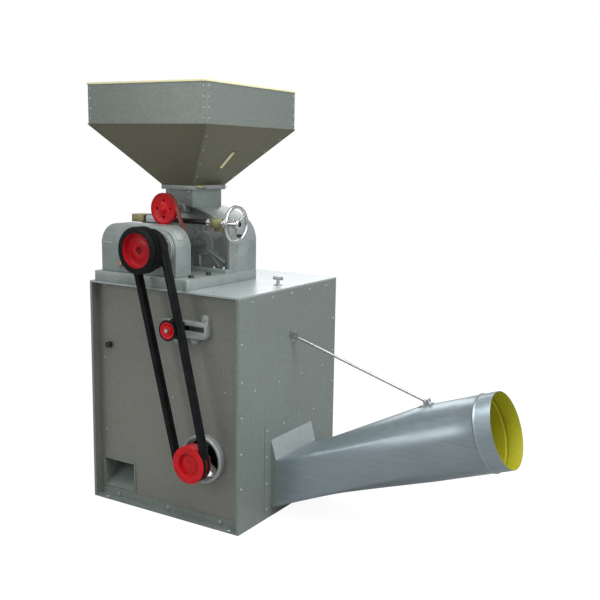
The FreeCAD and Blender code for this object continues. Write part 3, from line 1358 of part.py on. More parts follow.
def duct_clip():
    """A saddle on top of the duct that the strut's end is bolted to, with a wing nut."""
    slope = math.radians(duct_slope.value)
    pieces = []
    along = FreeCAD.Vector(math.cos(slope), 0, math.sin(slope))
    rise = FreeCAD.Vector(-math.sin(slope), 0, math.cos(slope))
    base = duct_point(saddle_distance.value, duct_radius.value - 1.2)
    turn = FreeCAD.Rotation(FreeCAD.Vector(0, 1, 0), -duct_slope.value)
    foot = Part.makeBox(46, 30, 4.4)
    foot.translate(FreeCAD.Vector(-23, -15, 0))
    lug = Part.makeBox(24, 6, 18)
    lug.translate(FreeCAD.Vector(-12, 5.3, 0))
    for piece in (foot, lug):
        piece.Placement = FreeCAD.Placement(base, turn).multiply(piece.Placement)
        pieces.append(piece)
    saddle = pieces[0].fuse(pieces[1])
    pipe = Part.makeCylinder(duct_radius.value + 0.15, 400, duct_point(saddle_distance.value - 194, 0), along)
    stem = Part.makeCylinder(4, 14, base + along * 12 + rise * 5.5, rise)
    wings = Part.makeBox(5, 26, 10)
    wings.translate(FreeCAD.Vector(-2.5, -13, 9))
    wings.Placement = FreeCAD.Placement(base + along * 12 + rise * 1.5, turn).multiply(wings.Placement)
    nut = Part.makeCylinder(7, 6, base + along * 12 + rise * 4.6, rise)
    node("duct_clip", shaped("clip", Part.makeCompound([saddle.cut(pipe), nut.fuse([stem, wings])])))


def top_bolt():
    stem = rod("top_stem", "Z", RIGHT - 61, 4, TOP, 6, 24)
    base = rod("top_washer", "Z", RIGHT - 61, 4, TOP, 14, 4)
    bar = rod("top_bar", "X", RIGHT - 79, 4, TOP + 24, 6, 36)
    node("top_bolt", joined("top_bolt_parts", [stem, base, bar]))


SLOW_X = main_x - root((tooth_module * (drive_teeth + driven_teeth) / 2 + gear_backlash)
                       * (tooth_module * (drive_teeth + driven_teeth) / 2 + gear_backlash)
                       - (main_z - slow_z) * (main_z - slow_z))
ROLL_RADIUS = (tooth_module * (drive_teeth + driven_teeth) / 2 + gear_backlash - roll_gap) / 2

for make in (base_angles, inner_frame, panels, top_panel, chute_and_funnel, deflector,
             fan_housing, fan_inlet_ring, rear_fan_bearing, fan_rotor, head_plinth, head_fasteners,
             gear_case, roll_chamber, end_walls, main_bearings, feed_throat, feed_gate, hopper,
             main_rotor, slow_carriage, gap_screw, feed_rotor, idler, belts, exhaust_duct,
             duct_collar, duct_strut, duct_clip, top_bolt):
    make()

DOC.recompute()
faults = [item.Name for item in DOC.Objects if "Invalid" in item.State or "Error" in item.State]
if faults:
    raise RuntimeError("not built: " + ", ".join(faults))

os.makedirs("parts", exist_ok=True)
for name, item in NODES.items():
    shape = item.Shape
    if shape.isNull() or not shape.isValid() or not shape.Solids:
        raise RuntimeError(name + " has no valid solid")
    shape.exportStep("parts/" + name + ".step")
    print(name, len(shape.Solids), round(shape.Volume / 1000, 1), "cm3")
print(len(NODES), "nodes")
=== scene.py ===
"""Looks of the coffee huller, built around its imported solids.

Each sub-assembly is a class whose fields are its sizes in millimetres and whose
methods build meshes, give them a finish and hand them to the part's bodies.
"""

from __future__ import annotations

import json
import logging
import math
from dataclasses import dataclass, field
from enum import Enum
from typing import Iterable, Sequence

import bmesh
import bpy
from mathutils import Matrix, Vector

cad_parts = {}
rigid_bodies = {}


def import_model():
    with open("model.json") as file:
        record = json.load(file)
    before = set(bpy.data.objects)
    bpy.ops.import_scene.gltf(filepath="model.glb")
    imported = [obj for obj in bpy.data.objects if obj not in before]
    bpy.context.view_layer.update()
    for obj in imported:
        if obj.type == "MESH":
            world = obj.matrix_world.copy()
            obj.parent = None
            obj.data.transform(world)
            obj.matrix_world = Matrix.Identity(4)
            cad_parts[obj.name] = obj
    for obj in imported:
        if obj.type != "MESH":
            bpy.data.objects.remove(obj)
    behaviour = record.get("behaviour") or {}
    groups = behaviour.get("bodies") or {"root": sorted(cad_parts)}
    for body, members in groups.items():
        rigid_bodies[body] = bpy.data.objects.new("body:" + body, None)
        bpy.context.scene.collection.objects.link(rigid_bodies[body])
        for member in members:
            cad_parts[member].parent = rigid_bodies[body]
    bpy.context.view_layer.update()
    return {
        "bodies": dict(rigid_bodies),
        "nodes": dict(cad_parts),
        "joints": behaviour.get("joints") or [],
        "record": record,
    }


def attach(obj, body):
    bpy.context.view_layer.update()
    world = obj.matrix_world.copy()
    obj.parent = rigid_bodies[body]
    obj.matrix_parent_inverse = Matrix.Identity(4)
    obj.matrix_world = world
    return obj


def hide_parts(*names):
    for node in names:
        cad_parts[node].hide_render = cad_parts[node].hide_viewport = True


LOG = logging.getLogger("huller")
MM = 0.001
Point2 = tuple[float, float]
Point3 = tuple[float, float, float]
Colour = tuple[float, float, float]


class Axis(Enum):
    """The three ways that a turned or extruded piece can lie."""

    X = "X"
    Y = "Y"
    Z = "Z"

    def turn(self) -> Matrix:
        """The turn that lays local +Z along this axis."""
        if self is Axis.X:
            return Matrix.Rotation(math.radians(90), 4, "Y")
        if self is Axis.Y:
            return Matrix.Rotation(math.radians(-90), 4, "X")
        return Matrix.Identity(4)


class Slot(Enum):
    """The record's material slots."""

    HAMMERED = "hammered_paint"
    DUCT = "duct_paint"
    CAST = "cast_paint"
    RED = "red_paint"
    STEEL = "machined_steel"
    WHEEL = "painted_steel_wheel"
    CORE = "cast_core"
    ROLL = "roll_rubber"
    BELT = "belt_rubber"
    LEATHER = "belt_leather"
    BRASS = "brass"
    CHROME = "chrome"
    ZINC = "zinc_steel"
    GRIP = "black_grip"


class Recipe:
    """One material while its nodes are laid out."""

    def __init__(self, name: str) -> None:
        """Starts a material with an empty shader and object coordinates.

        Args:
            name: The material's name.
        """
        self.material = bpy.data.materials.new(name)
        self.material.use_nodes = True
        self.tree = self.material.node_tree
        self.tree.nodes.clear()
        self.output = self.tree.nodes.new("ShaderNodeOutputMaterial")
        self.shader = self.tree.nodes.new("ShaderNodeBsdfPrincipled")
        self.tree.links.new(self.shader.outputs[0], self.output.inputs["Surface"])
        self.coords = self.tree.nodes.new("ShaderNodeTexCoord").outputs["Object"]

    def stretched(self, scale: Point3) -> bpy.types.NodeSocket:
        """Object coordinates drawn out by a factor along each axis.

        Args:
            scale: The factor along X, Y and Z.

        Returns:
            The socket with the new coordinates.
        """
        node = self.tree.nodes.new("ShaderNodeMapping")
        node.inputs["Scale"].default_value = scale
        self.tree.links.new(self.coords, node.inputs["Vector"])
        return node.outputs[0]

    def noise(self, scale: float, detail: float = 3.0, rough: float = 0.5,
              coords: bpy.types.NodeSocket | None = None) -> bpy.types.NodeSocket:
        """Cloudy noise.

        Args:
            scale: Cells to the metre.
            detail: Octaves.
            rough: How strong the fine octaves are.
            coords: Coordinates other than the object's.

        Returns:
            The noise's value socket.
        """
        node = self.tree.nodes.new("ShaderNodeTexNoise")
        node.inputs["Scale"].default_value = scale
        node.inputs["Detail"].default_value = detail
        node.inputs["Roughness"].default_value = rough
        self.tree.links.new(coords or self.coords, node.inputs["Vector"])
        return node.outputs["Fac"]

    def cells(self, scale: float, feature: str = "F1", randomness: float = 1.0,
              coords: bpy.types.NodeSocket | None = None) -> bpy.types.NodeSocket:
        """Cell noise.

        Args:
            scale: Cells to the metre.
            feature: The kind of distance that it gives.
            randomness: How uneven the cells are.
            coords: Coordinates other than the object's.

        Returns:
            The distance socket.
        """
        node = self.tree.nodes.new("ShaderNodeTexVoronoi")
        node.feature = feature
        node.inputs["Scale"].default_value = scale
        node.inputs["Randomness"].default_value = randomness
        self.tree.links.new(coords or self.coords, node.inputs["Vector"])
        return node.outputs["Distance"]

    def waves(self, scale: float, direction: str, distort: float,
              coords: bpy.types.NodeSocket | None = None) -> bpy.types.NodeSocket:
        """Straight bands.

        Args:
            scale: Bands to the metre, about.
            direction: The axis across the bands.
            distort: How far the bands wander.
            coords: Coordinates other than the object's.

        Returns:
            The bands' value socket.
        """
        node = self.tree.nodes.new("ShaderNodeTexWave")
        node.bands_direction = direction
        node.inputs["Scale"].default_value = scale
        node.inputs["Distortion"].default_value = distort
        self.tree.links.new(coords or self.coords, node.inputs["Vector"])
        return node.outputs["Fac"]

    def ramp(self, value: bpy.types.NodeSocket, stops: Sequence[tuple[float, Colour]]) -> bpy.types.NodeSocket:
        """Colours along a value.

        Args:
            value: The socket that picks the colour.
            stops: Places from 0 to 1 with their colours.

        Returns:
            The colour socket.
        """
        node = self.tree.nodes.new("ShaderNodeValToRGB")
        elements = node.color_ramp.elements
        while len(elements) < len(stops):
            elements.new(0.5)
        for element, (place, colour) in zip(elements, stops):
            element.position = place
            element.color = (*colour, 1.0)
        self.tree.links.new(value, node.inputs["Fac"])
        return node.outputs["Color"]

    def span(self, value: bpy.types.NodeSocket, low: float, high: float,
             start: float = 0.0, end: float = 1.0) -> bpy.types.NodeSocket:
        """Maps a value onto another range.

        Args:
            value: The socket to map.
            low: The result where the value is start.
            high: The result where the value is end.
            start: Where the source range begins.
            end: Where the source range ends.

        Returns:
            The mapped socket.
        """
        node = self.tree.nodes.new("ShaderNodeMapRange")
        node.inputs["From Min"].default_value = start
        node.inputs["From Max"].default_value = end
        node.inputs["To Min"].default_value = low
        node.inputs["To Max"].default_value = high
        self.tree.links.new(value, node.inputs["Value"])
        return node.outputs["Result"]

    def blend(self, factor: bpy.types.NodeSocket, first: bpy.types.NodeSocket | Colour,
              second: bpy.types.NodeSocket | Colour, mode: str = "MIX") -> bpy.types.NodeSocket:
        """Two colours laid over each other.

        Args:
            factor: How much of the second shows.
            first: The colour below.
            second: The colour above.
            mode: How they are laid together.

        Returns:
            The colour socket.
        """
        node = self.tree.nodes.new("ShaderNodeMix")
        node.data_type = "RGBA"
        node.blend_type = mode
        self.tree.links.new(factor, node.inputs["Factor"])
        for name, colour in (("A", first), ("B", second)):
            socket = [s for s in node.inputs if s.name == name and s.type == "RGBA"][0]
            if isinstance(colour, tuple):
                socket.default_value = (*colour, 1.0)
            else:
                self.tree.links.new(colour, socket)
        return [s for s in node.outputs if s.type == "RGBA"][0]

    def sum(self, *values: bpy.types.NodeSocket) -> bpy.types.NodeSocket:
        """Adds several values."""
        total = values[0]
        for value in values[1:]:
            node = self.tree.nodes.new("ShaderNodeMath")
            node.operation = "ADD"
            self.tree.links.new(total, node.inputs[0])
            self.tree.links.new(value, node.inputs[1])
            total = node.outputs[0]
        return total

    def raise_by(self, height: bpy.types.NodeSocket, depth: float, strength: float = 1.0) -> None:
        """Lets a height lift the surface, on top of any lift that it has.

        Args:
            height: The height socket, from 0 to 1.
            depth: The height of 1 in metres.
            strength: How much of it shows.
        """
        node = self.tree.nodes.new("ShaderNodeBump")
        node.inputs["Strength"].default_value = strength
        node.inputs["Distance"].default_value = depth
        self.tree.links.new(height, node.inputs["Height"])
        before = self.shader.inputs["Normal"]
        if before.is_linked:
            self.tree.links.new(before.links[0].from_socket, node.inputs["Normal"])
        self.tree.links.new(node.outputs[0], before)

    def use(self, **inputs: bpy.types.NodeSocket | float | Colour) -> None:
        """Sets or links the shader's inputs, named with _ for each space.

        Args:
            **inputs: A socket to link, or a value for the shader's own socket.
        """
        for name, value in inputs.items():
            socket = self.shader.inputs[name.replace("_", " ")]
            if isinstance(value, bpy.types.NodeSocket):
                self.tree.links.new(value, socket)
            elif isinstance(value, tuple):
                socket.default_value = (*value, 1.0)
            else:
                socket.default_value = value


@dataclass(frozen=True)
class Finish:
    """A surface finish; the material is made once and kept."""

    name: str
    colour: Colour

    def material(self) -> bpy.types.Material:
        """The finish's material, made at its first use."""
        known = bpy.data.materials.get(self.name)
        return known or self.mixed(Recipe(self.name)).material

    def mixed(self, recipe: Recipe) -> Recipe:
        """Lays out the nodes; each kind of finish does it its own way."""
        recipe.use(Base_Color=self.colour)
        return recipe

    def tint(self, factor: float) -> Colour:
        """The finish's colour made lighter or darker by a factor."""
        return tuple(min(1.0, channel * factor) for channel in self.colour)


@dataclass(frozen=True)
class HammeredEnamel(Finish):
    """Hammertone enamel on sheet: small dimples with a metallic glint and faint stains."""

    dimple: float = 260.0
    depth: float = 0.0005
    gloss: float = 0.40
    metal: float = 0.25

    def mixed(self, recipe: Recipe) -> Recipe:
        """Lays out the dimples, the mottling and the stains."""
        mottled = recipe.ramp(recipe.noise(90.0, 4.0, 0.65),
                              [(0.30, self.tint(0.86)), (0.52, self.colour), (0.74, self.tint(1.13))])
        stained = recipe.blend(recipe.span(recipe.noise(3.2, 5.0, 0.6), 0.0, 0.75, 0.45, 0.78),
                               mottled, self.tint(0.84))
        dimples = recipe.cells(self.dimple, "SMOOTH_F1")
        flecked = recipe.blend(recipe.span(dimples, 0.0, 0.5, 0.25, 0.75), stained, self.tint(1.22))
        recipe.use(Base_Color=flecked, Metallic=self.metal,
                   Roughness=recipe.span(recipe.noise(22.0, 3.0), self.gloss - 0.07, self.gloss + 0.1))
        recipe.raise_by(dimples, self.depth, 0.55)
        recipe.raise_by(recipe.noise(2.4, 2.0), 0.003, 0.35)
        return recipe


@dataclass(frozen=True)
class CastEnamel(Finish):
    """Enamel over a sand casting: pebbled, with darker hollows and a few bright rubs."""

    grain: float = 210.0
    gloss: float = 0.36

    def mixed(self, recipe: Recipe) -> Recipe:
        """Lays out the pebbled skin and the uneven paint."""
        clouds = recipe.noise(14.0, 5.0, 0.6)
        painted = recipe.ramp(clouds, [(0.28, self.tint(0.80)), (0.5, self.colour), (0.72, self.tint(1.16))])
        rubbed = recipe.blend(recipe.span(recipe.noise(160.0, 2.0), 0.0, 0.45, 0.62, 0.8),
                              painted, self.tint(1.35))
        recipe.use(Base_Color=rubbed, Metallic=0.22,
                   Roughness=recipe.span(recipe.noise(30.0, 3.0), self.gloss - 0.08, self.gloss + 0.14))
        recipe.raise_by(recipe.noise(self.grain, 4.0, 0.6), 0.0007, 0.6)
        recipe.raise_by(clouds, 0.004, 0.45)
        return recipe


@dataclass(frozen=True)
class RolledSheetEnamel(Finish):
    """Smooth silver enamel on rolled sheet, with faint rolling streaks and dents."""

    gloss: float = 0.30

    def mixed(self, recipe: Recipe) -> Recipe:
        """Lays out the streaks, the speckle and the soft dents."""
        streaks = recipe.noise(30.0, 4.0, 0.6, recipe.stretched((0.25, 2.6, 2.6)))
        body = recipe.ramp(streaks, [(0.3, self.tint(0.90)), (0.5, self.colour), (0.7, self.tint(1.08))])
        speckled = recipe.blend(recipe.span(recipe.noise(420.0, 2.0), 0.0, 0.5, 0.5, 0.75),
                                body, self.tint(1.2))
        recipe.use(Base_Color=speckled, Metallic=0.62,
                   Roughness=recipe.span(streaks, self.gloss - 0.05, self.gloss + 0.10))
        recipe.raise_by(recipe.noise(500.0, 2.0), 0.00012, 0.5)
        recipe.raise_by(recipe.noise(4.5, 2.0), 0.004, 0.4)
        return recipe


@dataclass(frozen=True)
class GlossEnamel(Finish):
    """Thick glossy enamel with small runs, dust and worn spots."""

    worn: Colour = (0.10, 0.02, 0.02)
    gloss: float = 0.24
    coat: float = 0.35
    shine: float = 0.5

    def mixed(self, recipe: Recipe) -> Recipe:
        """Lays out the colour shifts, the worn spots and the orange peel."""
        body = recipe.ramp(recipe.noise(45.0, 4.0), [(0.3, self.tint(0.80)), (0.5, self.colour),
                                                    (0.72, self.tint(1.12))])
        chipped = recipe.blend(recipe.span(recipe.noise(230.0, 5.0, 0.7), 0.0, 0.9, 0.66, 0.72), body, self.worn)
        recipe.use(Base_Color=chipped, Coat_Weight=self.coat, Coat_Roughness=0.12, Specular_IOR_Level=self.shine,
                   Roughness=recipe.span(recipe.noise(60.0, 3.0), self.gloss - 0.04, self.gloss + 0.16))
        recipe.raise_by(recipe.noise(150.0, 3.0), 0.0004, 0.4)
        return recipe


@dataclass(frozen=True)
class BareMetal(Finish):
    """Bare or plated metal with tool marks and smudges."""

    gloss: float = 0.28
    marks: float = 700.0
    smudge: float = 0.72
    metal: float = 1.0

    def mixed(self, recipe: Recipe) -> Recipe:
        """Lays out the tool marks and the smudges."""
        lines = recipe.noise(self.marks, 2.0, 0.5, recipe.stretched((1.0, 0.15, 1.0)))
        smudges = recipe.noise(38.0, 5.0, 0.65)
        body = recipe.ramp(smudges, [(0.30, self.tint(self.smudge)), (0.55, self.colour),
                                     (0.8, self.tint(1.08))])
        recipe.use(Base_Color=body, Metallic=self.metal,
                   Roughness=recipe.span(recipe.sum(smudges, lines), self.gloss - 0.05, self.gloss + 0.16,
                                         0.6, 1.5))
        recipe.raise_by(lines, 0.00012, 0.35)
        return recipe


@dataclass(frozen=True)
class CastBrass(Finish):
    """Dull cast brass with greenish tarnish in its hollows."""

    tarnish: Colour = (0.14, 0.13, 0.07)

    def mixed(self, recipe: Recipe) -> Recipe:
        """Lays out the tarnish and the casting skin."""
        clouds = recipe.noise(60.0, 5.0, 0.65)
        body = recipe.ramp(clouds, [(0.32, self.tarnish), (0.52, self.colour), (0.75, self.tint(1.3))])
        recipe.use(Base_Color=body, Metallic=0.75, Roughness=recipe.span(clouds, 0.58, 0.36))
        recipe.raise_by(recipe.noise(320.0, 3.0), 0.0005, 0.5)
        return recipe


@dataclass(frozen=True)
class WovenRubber(Finish):
    """Black belt rubber with its cloth cover's weave and a worn, dusty sheen."""

    def mixed(self, recipe: Recipe) -> Recipe:
        """Lays out the weave and the dust."""
        weave = recipe.cells(900.0, "F1", 0.25)
        dust = recipe.noise(26.0, 4.0)
        body = recipe.ramp(dust, [(0.35, self.colour), (0.75, self.tint(2.2))])
        recipe.use(Base_Color=body, Roughness=recipe.span(dust, 0.5, 0.7), Specular_IOR_Level=0.12)
        recipe.raise_by(weave, 0.0003, 0.5)
        return recipe


@dataclass(frozen=True)
class BeltLeather(Finish):
    """Waxed belt leather: fine grain, darker creases and a paler worn edge."""

    def mixed(self, recipe: Recipe) -> Recipe:
        """Lays out the grain and the creases."""
        grain = recipe.cells(800.0, "F1")
        creases = recipe.noise(70.0, 5.0, 0.7)
        body = recipe.ramp(creases, [(0.3, self.tint(0.6)), (0.52, self.colour), (0.76, self.tint(1.7))])
        recipe.use(Base_Color=body, Roughness=recipe.span(creases, 0.42, 0.62))
        recipe.raise_by(grain, 0.0003, 0.6)
        recipe.raise_by(creases, 0.0008, 0.4)
        return recipe


@dataclass(frozen=True)
class GroundRubber(Finish):
    """Pale roll rubber with grinding lines and bean stains."""

    def mixed(self, recipe: Recipe) -> Recipe:
        """Lays out the grinding lines and the stains."""
        stains = recipe.noise(50.0, 5.0, 0.6)
        lines = recipe.noise(900.0, 2.0, 0.5, recipe.stretched((1.0, 0.1, 1.0)))
        body = recipe.ramp(stains, [(0.3, self.tint(0.62)), (0.55, self.colour), (0.8, self.tint(1.1))])
        recipe.use(Base_Color=body, Roughness=recipe.span(stains, 0.7, 0.85))
        recipe.raise_by(lines, 0.0003, 0.5)
        return recipe


@dataclass(frozen=True)
class Phenolic(Finish):
    """Moulded black phenolic, polished, with faint scratches."""

    def mixed(self, recipe: Recipe) -> Recipe:
        """Lays out the polish and the scratches."""
        scratches = recipe.noise(400.0, 3.0, 0.6, recipe.stretched((0.2, 1.0, 1.0)))
        body = recipe.ramp(scratches, [(0.4, self.colour), (0.8, self.tint(1.9))])
        recipe.use(Base_Color=body, Roughness=recipe.span(scratches, 0.16, 0.32), Coat_Weight=0.3)
        recipe.raise_by(scratches, 0.0001, 0.3)
        return recipe


@dataclass(frozen=True)
class Finishes:
    """Every finish of the huller."""

    sheet: Finish = HammeredEnamel("grey_green_hammertone", (0.232, 0.270, 0.248))
    # Painted shade: a darker, warmer copy of the cabinet's grey-green hammertone for the front panel, which faces away
    # from the main lamps.
    front_sheet: Finish = HammeredEnamel("front_painted_shade_hammertone", (0.238, 0.243, 0.214))
    # Painted light: a much lighter copy of the cabinet's hammertone for the top panel, standing for its brightly lit
    # top.
    top_sheet: Finish = HammeredEnamel("top_painted_light_hammertone", (0.420, 0.465, 0.460), gloss=0.30)
    pale_sheet: Finish = HammeredEnamel("pale_collar_hammertone", (0.385, 0.425, 0.420))
    # Olive hammertone made darker than the band's: painted shade on the cone's downward-facing sides.
    cone_sheet: Finish = HammeredEnamel("olive_cone_painted_shade", (0.162, 0.156, 0.104), gloss=0.46)
    hopper_sheet: Finish = HammeredEnamel("hopper_hammertone", (0.208, 0.238, 0.216), gloss=0.44)
    cast: Finish = CastEnamel("casting_enamel", (0.300, 0.345, 0.330))
    wall: Finish = CastEnamel("dark_wall_enamel", (0.300, 0.330, 0.305))
    # Painted highlight: a lighter copy of the casting enamel for ribs, ridges, the inlet ring and the idler bracket,
    # standing for faces that catch the light.
    highlight_cast: Finish = CastEnamel("cast_enamel_painted_highlight", (0.400, 0.430, 0.420))
    neck: Finish = CastEnamel("neck_enamel", (0.275, 0.320, 0.300), grain=150.0)
    duct: Finish = RolledSheetEnamel("silver_duct_enamel", (0.300, 0.358, 0.388))
    primer: Finish = HammeredEnamel("yellow_primer", (0.440, 0.420, 0.014), metal=0.0, gloss=0.50)
    # Painted light: a cream copy of the yellow primer for the hopper's rim hem, as a painted highlight, and for the
    # pane that stands for the lit inside seen through the sight slot.
    primer_painted_light: Finish = HammeredEnamel("primer_painted_light", (0.76, 0.72, 0.44), metal=0.0, gloss=0.5)
    red: Finish = GlossEnamel("red_enamel", (0.620, 0.004, 0.010), gloss=0.32, coat=0.10, shine=0.28)
    # A darker copy of the red enamel: on the main pulley's recessed dish it is painted shade, and it also colours the
    # ring on the feed pulley's cap.
    deep_red: Finish = GlossEnamel("deep_red_enamel", (0.450, 0.003, 0.010), gloss=0.34, coat=0.08, shine=0.24)
    # Painted shade: a near-black red for the recess in the middle of the main pulley's hub.
    shaded_red: Finish = GlossEnamel("hub_recess_painted_shade", (0.150, 0.003, 0.008), gloss=0.44, coat=0.0, shine=0.2)
    black: Finish = GlossEnamel("black_rim_enamel", (0.006, 0.007, 0.007), worn=(0.045, 0.045, 0.04), gloss=0.34,
                                coat=0.0, shine=0.16)
    steel: Finish = BareMetal("turned_steel", (0.48, 0.48, 0.49))
    dark_steel: Finish = BareMetal("oiled_dark_steel", (0.085, 0.082, 0.08), gloss=0.4)
    chrome: Finish = BareMetal("chrome_plate", (0.78, 0.79, 0.80), gloss=0.10, marks=300.0, smudge=0.85)
    zinc: Finish = BareMetal("zinc_plate", (0.56, 0.57, 0.58), gloss=0.34)
    rivet: Finish = BareMetal("painted_rivet", (0.62, 0.64, 0.62), gloss=0.34, metal=0.4)
    brass: Finish = CastBrass("tarnished_brass", (0.40, 0.34, 0.18))
    olive_brass: Finish = CastBrass("olive_brass", (0.33, 0.32, 0.17))
    plug: Finish = BareMetal("pink_brass_plug", (0.55, 0.36, 0.28), gloss=0.36)
    wheel: Finish = HammeredEnamel("impeller_enamel", (0.20, 0.21, 0.20), gloss=0.5)
    core: Finish = BareMetal("bare_cast_iron", (0.14, 0.14, 0.14), gloss=0.5, metal=0.8)
    roll: Finish = GroundRubber("ground_roll_rubber", (0.48, 0.44, 0.36))
    belt: Finish = WovenRubber("belt_rubber_cover", (0.006, 0.0065, 0.007))
    leather: Finish = BeltLeather("waxed_belt_leather", (0.175, 0.040, 0.022))
    leather_edge: Finish = BeltLeather("cut_leather_edge", (0.30, 0.115, 0.075))
    grip: Finish = Phenolic("black_phenolic", (0.012, 0.012, 0.012))


class Outline:
    """Helpers for flat outlines."""

    @staticmethod
    def eased(points: Sequence[Point2], amount: float) -> list[Point2]:
        """Rounds the corners of a closed outline with three points each.

        Args:
            points: The outline's corners.
            amount: How far along its sides each corner is cut back.

        Returns:
            The rounded outline.
        """
        result: list[Point2] = []
        count = len(points)
        for index, point in enumerate(points):
            here = Vector(point)
            before = Vector(points[index - 1]) - here
            after = Vector(points[(index + 1) % count]) - here
            start = here + before.normalized() * min(amount, before.length * 0.42)
            end = here + after.normalized() * min(amount, after.length * 0.42)
            middle = (start + end) * 0.25 + here * 0.5
            result += [tuple(start), tuple(middle), tuple(end)]
        return result

    @staticmethod
    def arc(centre: Point2, radius: float, start: float, end: float, steps: int) -> list[Point2]:
        """Points on an arc.

        Args:
            centre: The arc's centre.
            radius: Its radius.
            start: The first angle in degrees.
            end: The last angle in degrees.
            steps: How many parts it has.

        Returns:
            The points, both ends among them.
        """
        angles = [math.radians(start + (end - start) * step / steps) for step in range(steps + 1)]
        return [(centre[0] + radius * math.cos(a), centre[1] + radius * math.sin(a)) for a in angles]


@dataclass
class Workshop:
    """Makes meshes in millimetres, dresses them and hands them to the part's bodies."""

    frame: dict
    finishes: Finishes = field(default_factory=Finishes)

    def blank(self) -> bmesh.types.BMesh:
        """An empty mesh to build in."""
        return bmesh.new()

    def spun(self, mesh: bmesh.types.BMesh, axis: Axis, centre: Point3, outline: Sequence[Point2],
             steps: int = 96, finish: int = 0) -> None:
        """Turns a closed outline about an axis.

        Args:
            mesh: The mesh that it is added to.
            axis: The axis of turning.
            centre: A point on that axis.
            outline: Places along the axis with their radii, as a closed outline.
            steps: How many steps the turn has.
            finish: The index of the finish on it.
        """
        place = Matrix.Translation(centre) @ axis.turn()
        rings = []
        for step in range(steps):
            angle = 2 * math.pi * step / steps
            rings.append([mesh.verts.new(place @ Vector((radius * math.cos(angle), radius * math.sin(angle), along)))
                          for along, radius in outline])
        count = len(outline)
        for step in range(steps):
            near, far = rings[step], rings[(step + 1) % steps]
            for index in range(count):
                after = (index + 1) % count
                if outline[index][1] < 1e-6 and outline[after][1] < 1e-6:
                    continue
                face = mesh.faces.new((near[index], near[after], far[after], far[index]))
                face.material_index = finish

    def drawn(self, mesh: bmesh.types.BMesh, axis: Axis, outline: Sequence[Point2], start: float,
              depth: float, ease: float = 0.0, finish: int = 0, segments: int = 2) -> list[bmesh.types.BMFace]:
        """Draws a closed outline out along an axis.

        Args:
            mesh: The mesh that it is added to.
            axis: The way that it is drawn out.
            outline: Corners; (Y, Z) for X, (X, Z) for Y and (X, Y) for Z.
            start: The low end along the axis.
            depth: The length along the axis.
            ease: How wide its edges are eased.
            finish: The index of the finish on it.
            segments: How many strips an eased edge has.

        Returns:
            The faces that were made.
        """
        def spot(point: Point2, along: float) -> Vector:
            if axis is Axis.X:
                return Vector((along, point[0], point[1]))
            if axis is Axis.Y:
                return Vector((point[0], along, point[1]))
            return Vector((point[0], point[1], along))

        low = [mesh.verts.new(spot(point, start)) for point in outline]
        high = [mesh.verts.new(spot(point, start + depth)) for point in outline]
        faces = [mesh.faces.new(low), mesh.faces.new(high)]
        for index in range(len(outline)):
            after = (index + 1) % len(outline)
            faces.append(mesh.faces.new((low[index], low[after], high[after], high[index])))
        bmesh.ops.recalc_face_normals(mesh, faces=faces)
        for face in faces:
            face.material_index = finish
        if ease > 0:
            edges = {edge for face in faces for edge in face.edges
                     if len(edge.link_faces) == 2 and edge.calc_face_angle(0.0) > math.radians(24)}
            made = bmesh.ops.bevel(mesh, geom=list(edges), offset=ease, segments=segments, profile=0.5,
                                   affect="EDGES", clamp_overlap=True)
            faces = [face for face in faces if face.is_valid] + list(made["faces"])
        return faces

    def block(self, mesh: bmesh.types.BMesh, low: Point3, high: Point3, ease: float = 0.6,
              finish: int = 0) -> list[bmesh.types.BMFace]:
        """A block with eased edges, from its low corner to its high corner."""
        outline = [(low[0], low[1]), (high[0], low[1]), (high[0], high[1]), (low[0], high[1])]
        return self.drawn(mesh, Axis.Z, outline, low[2], high[2] - low[2], ease, finish)

    def rod(self, mesh: bmesh.types.BMesh, start: Point3, end: Point3, radius: float, steps: int = 24,
            ease: float = 0.8, finish: int = 0) -> None:
        """A round bar between two points with eased ends.

        Args:
            mesh: The mesh that it is added to.
            start: One end.
            end: The other end.
            radius: The bar's radius.
            steps: How many sides it has.
            ease: How far its ends are eased.
            finish: The index of the finish on it.
        """
        way = Vector(end) - Vector(start)
        place = Matrix.Translation(start) @ way.to_track_quat("Z", "Y").to_matrix().to_4x4()
        outline = [(0.0, 0.0), (0.0, radius - ease), (ease * 0.3, radius - ease * 0.3), (ease, radius),
                   (way.length - ease, radius), (way.length - ease * 0.3, radius - ease * 0.3),
                   (way.length, radius - ease), (way.length, 0.0)]
        self.turned_at(mesh, place, outline, steps, finish)

    def turned_at(self, mesh: bmesh.types.BMesh, place: Matrix, outline: Sequence[Point2],
                  steps: int, finish: int = 0) -> None:
        """Turns an open outline, from the axis back to the axis, about a placed local Z.

        Args:
            mesh: The mesh that it is added to.
            place: Where local Z lies.
            outline: Places along the axis with their radii.
            steps: How many steps the turn has.
            finish: The index of the finish on it.
        """
        rings = []
        for along, radius in outline:
            if radius < 1e-6:
                rings.append([mesh.verts.new(place @ Vector((0, 0, along)))])
                continue
            ring = []
            for step in range(steps):
                angle = 2 * math.pi * step / steps
                ring.append(mesh.verts.new(place @ Vector((radius * math.cos(angle),
                                                           radius * math.sin(angle), along))))
            rings.append(ring)
        for near, far in zip(rings, rings[1:]):
            for step in range(steps):
                after = (step + 1) % steps
                corners = [near[step % len(near)], near[after % len(near)],
                           far[after % len(far)], far[step % len(far)]]
                unique = list(dict.fromkeys(corners))
                if len(unique) > 2:
                    mesh.faces.new(unique).material_index = finish

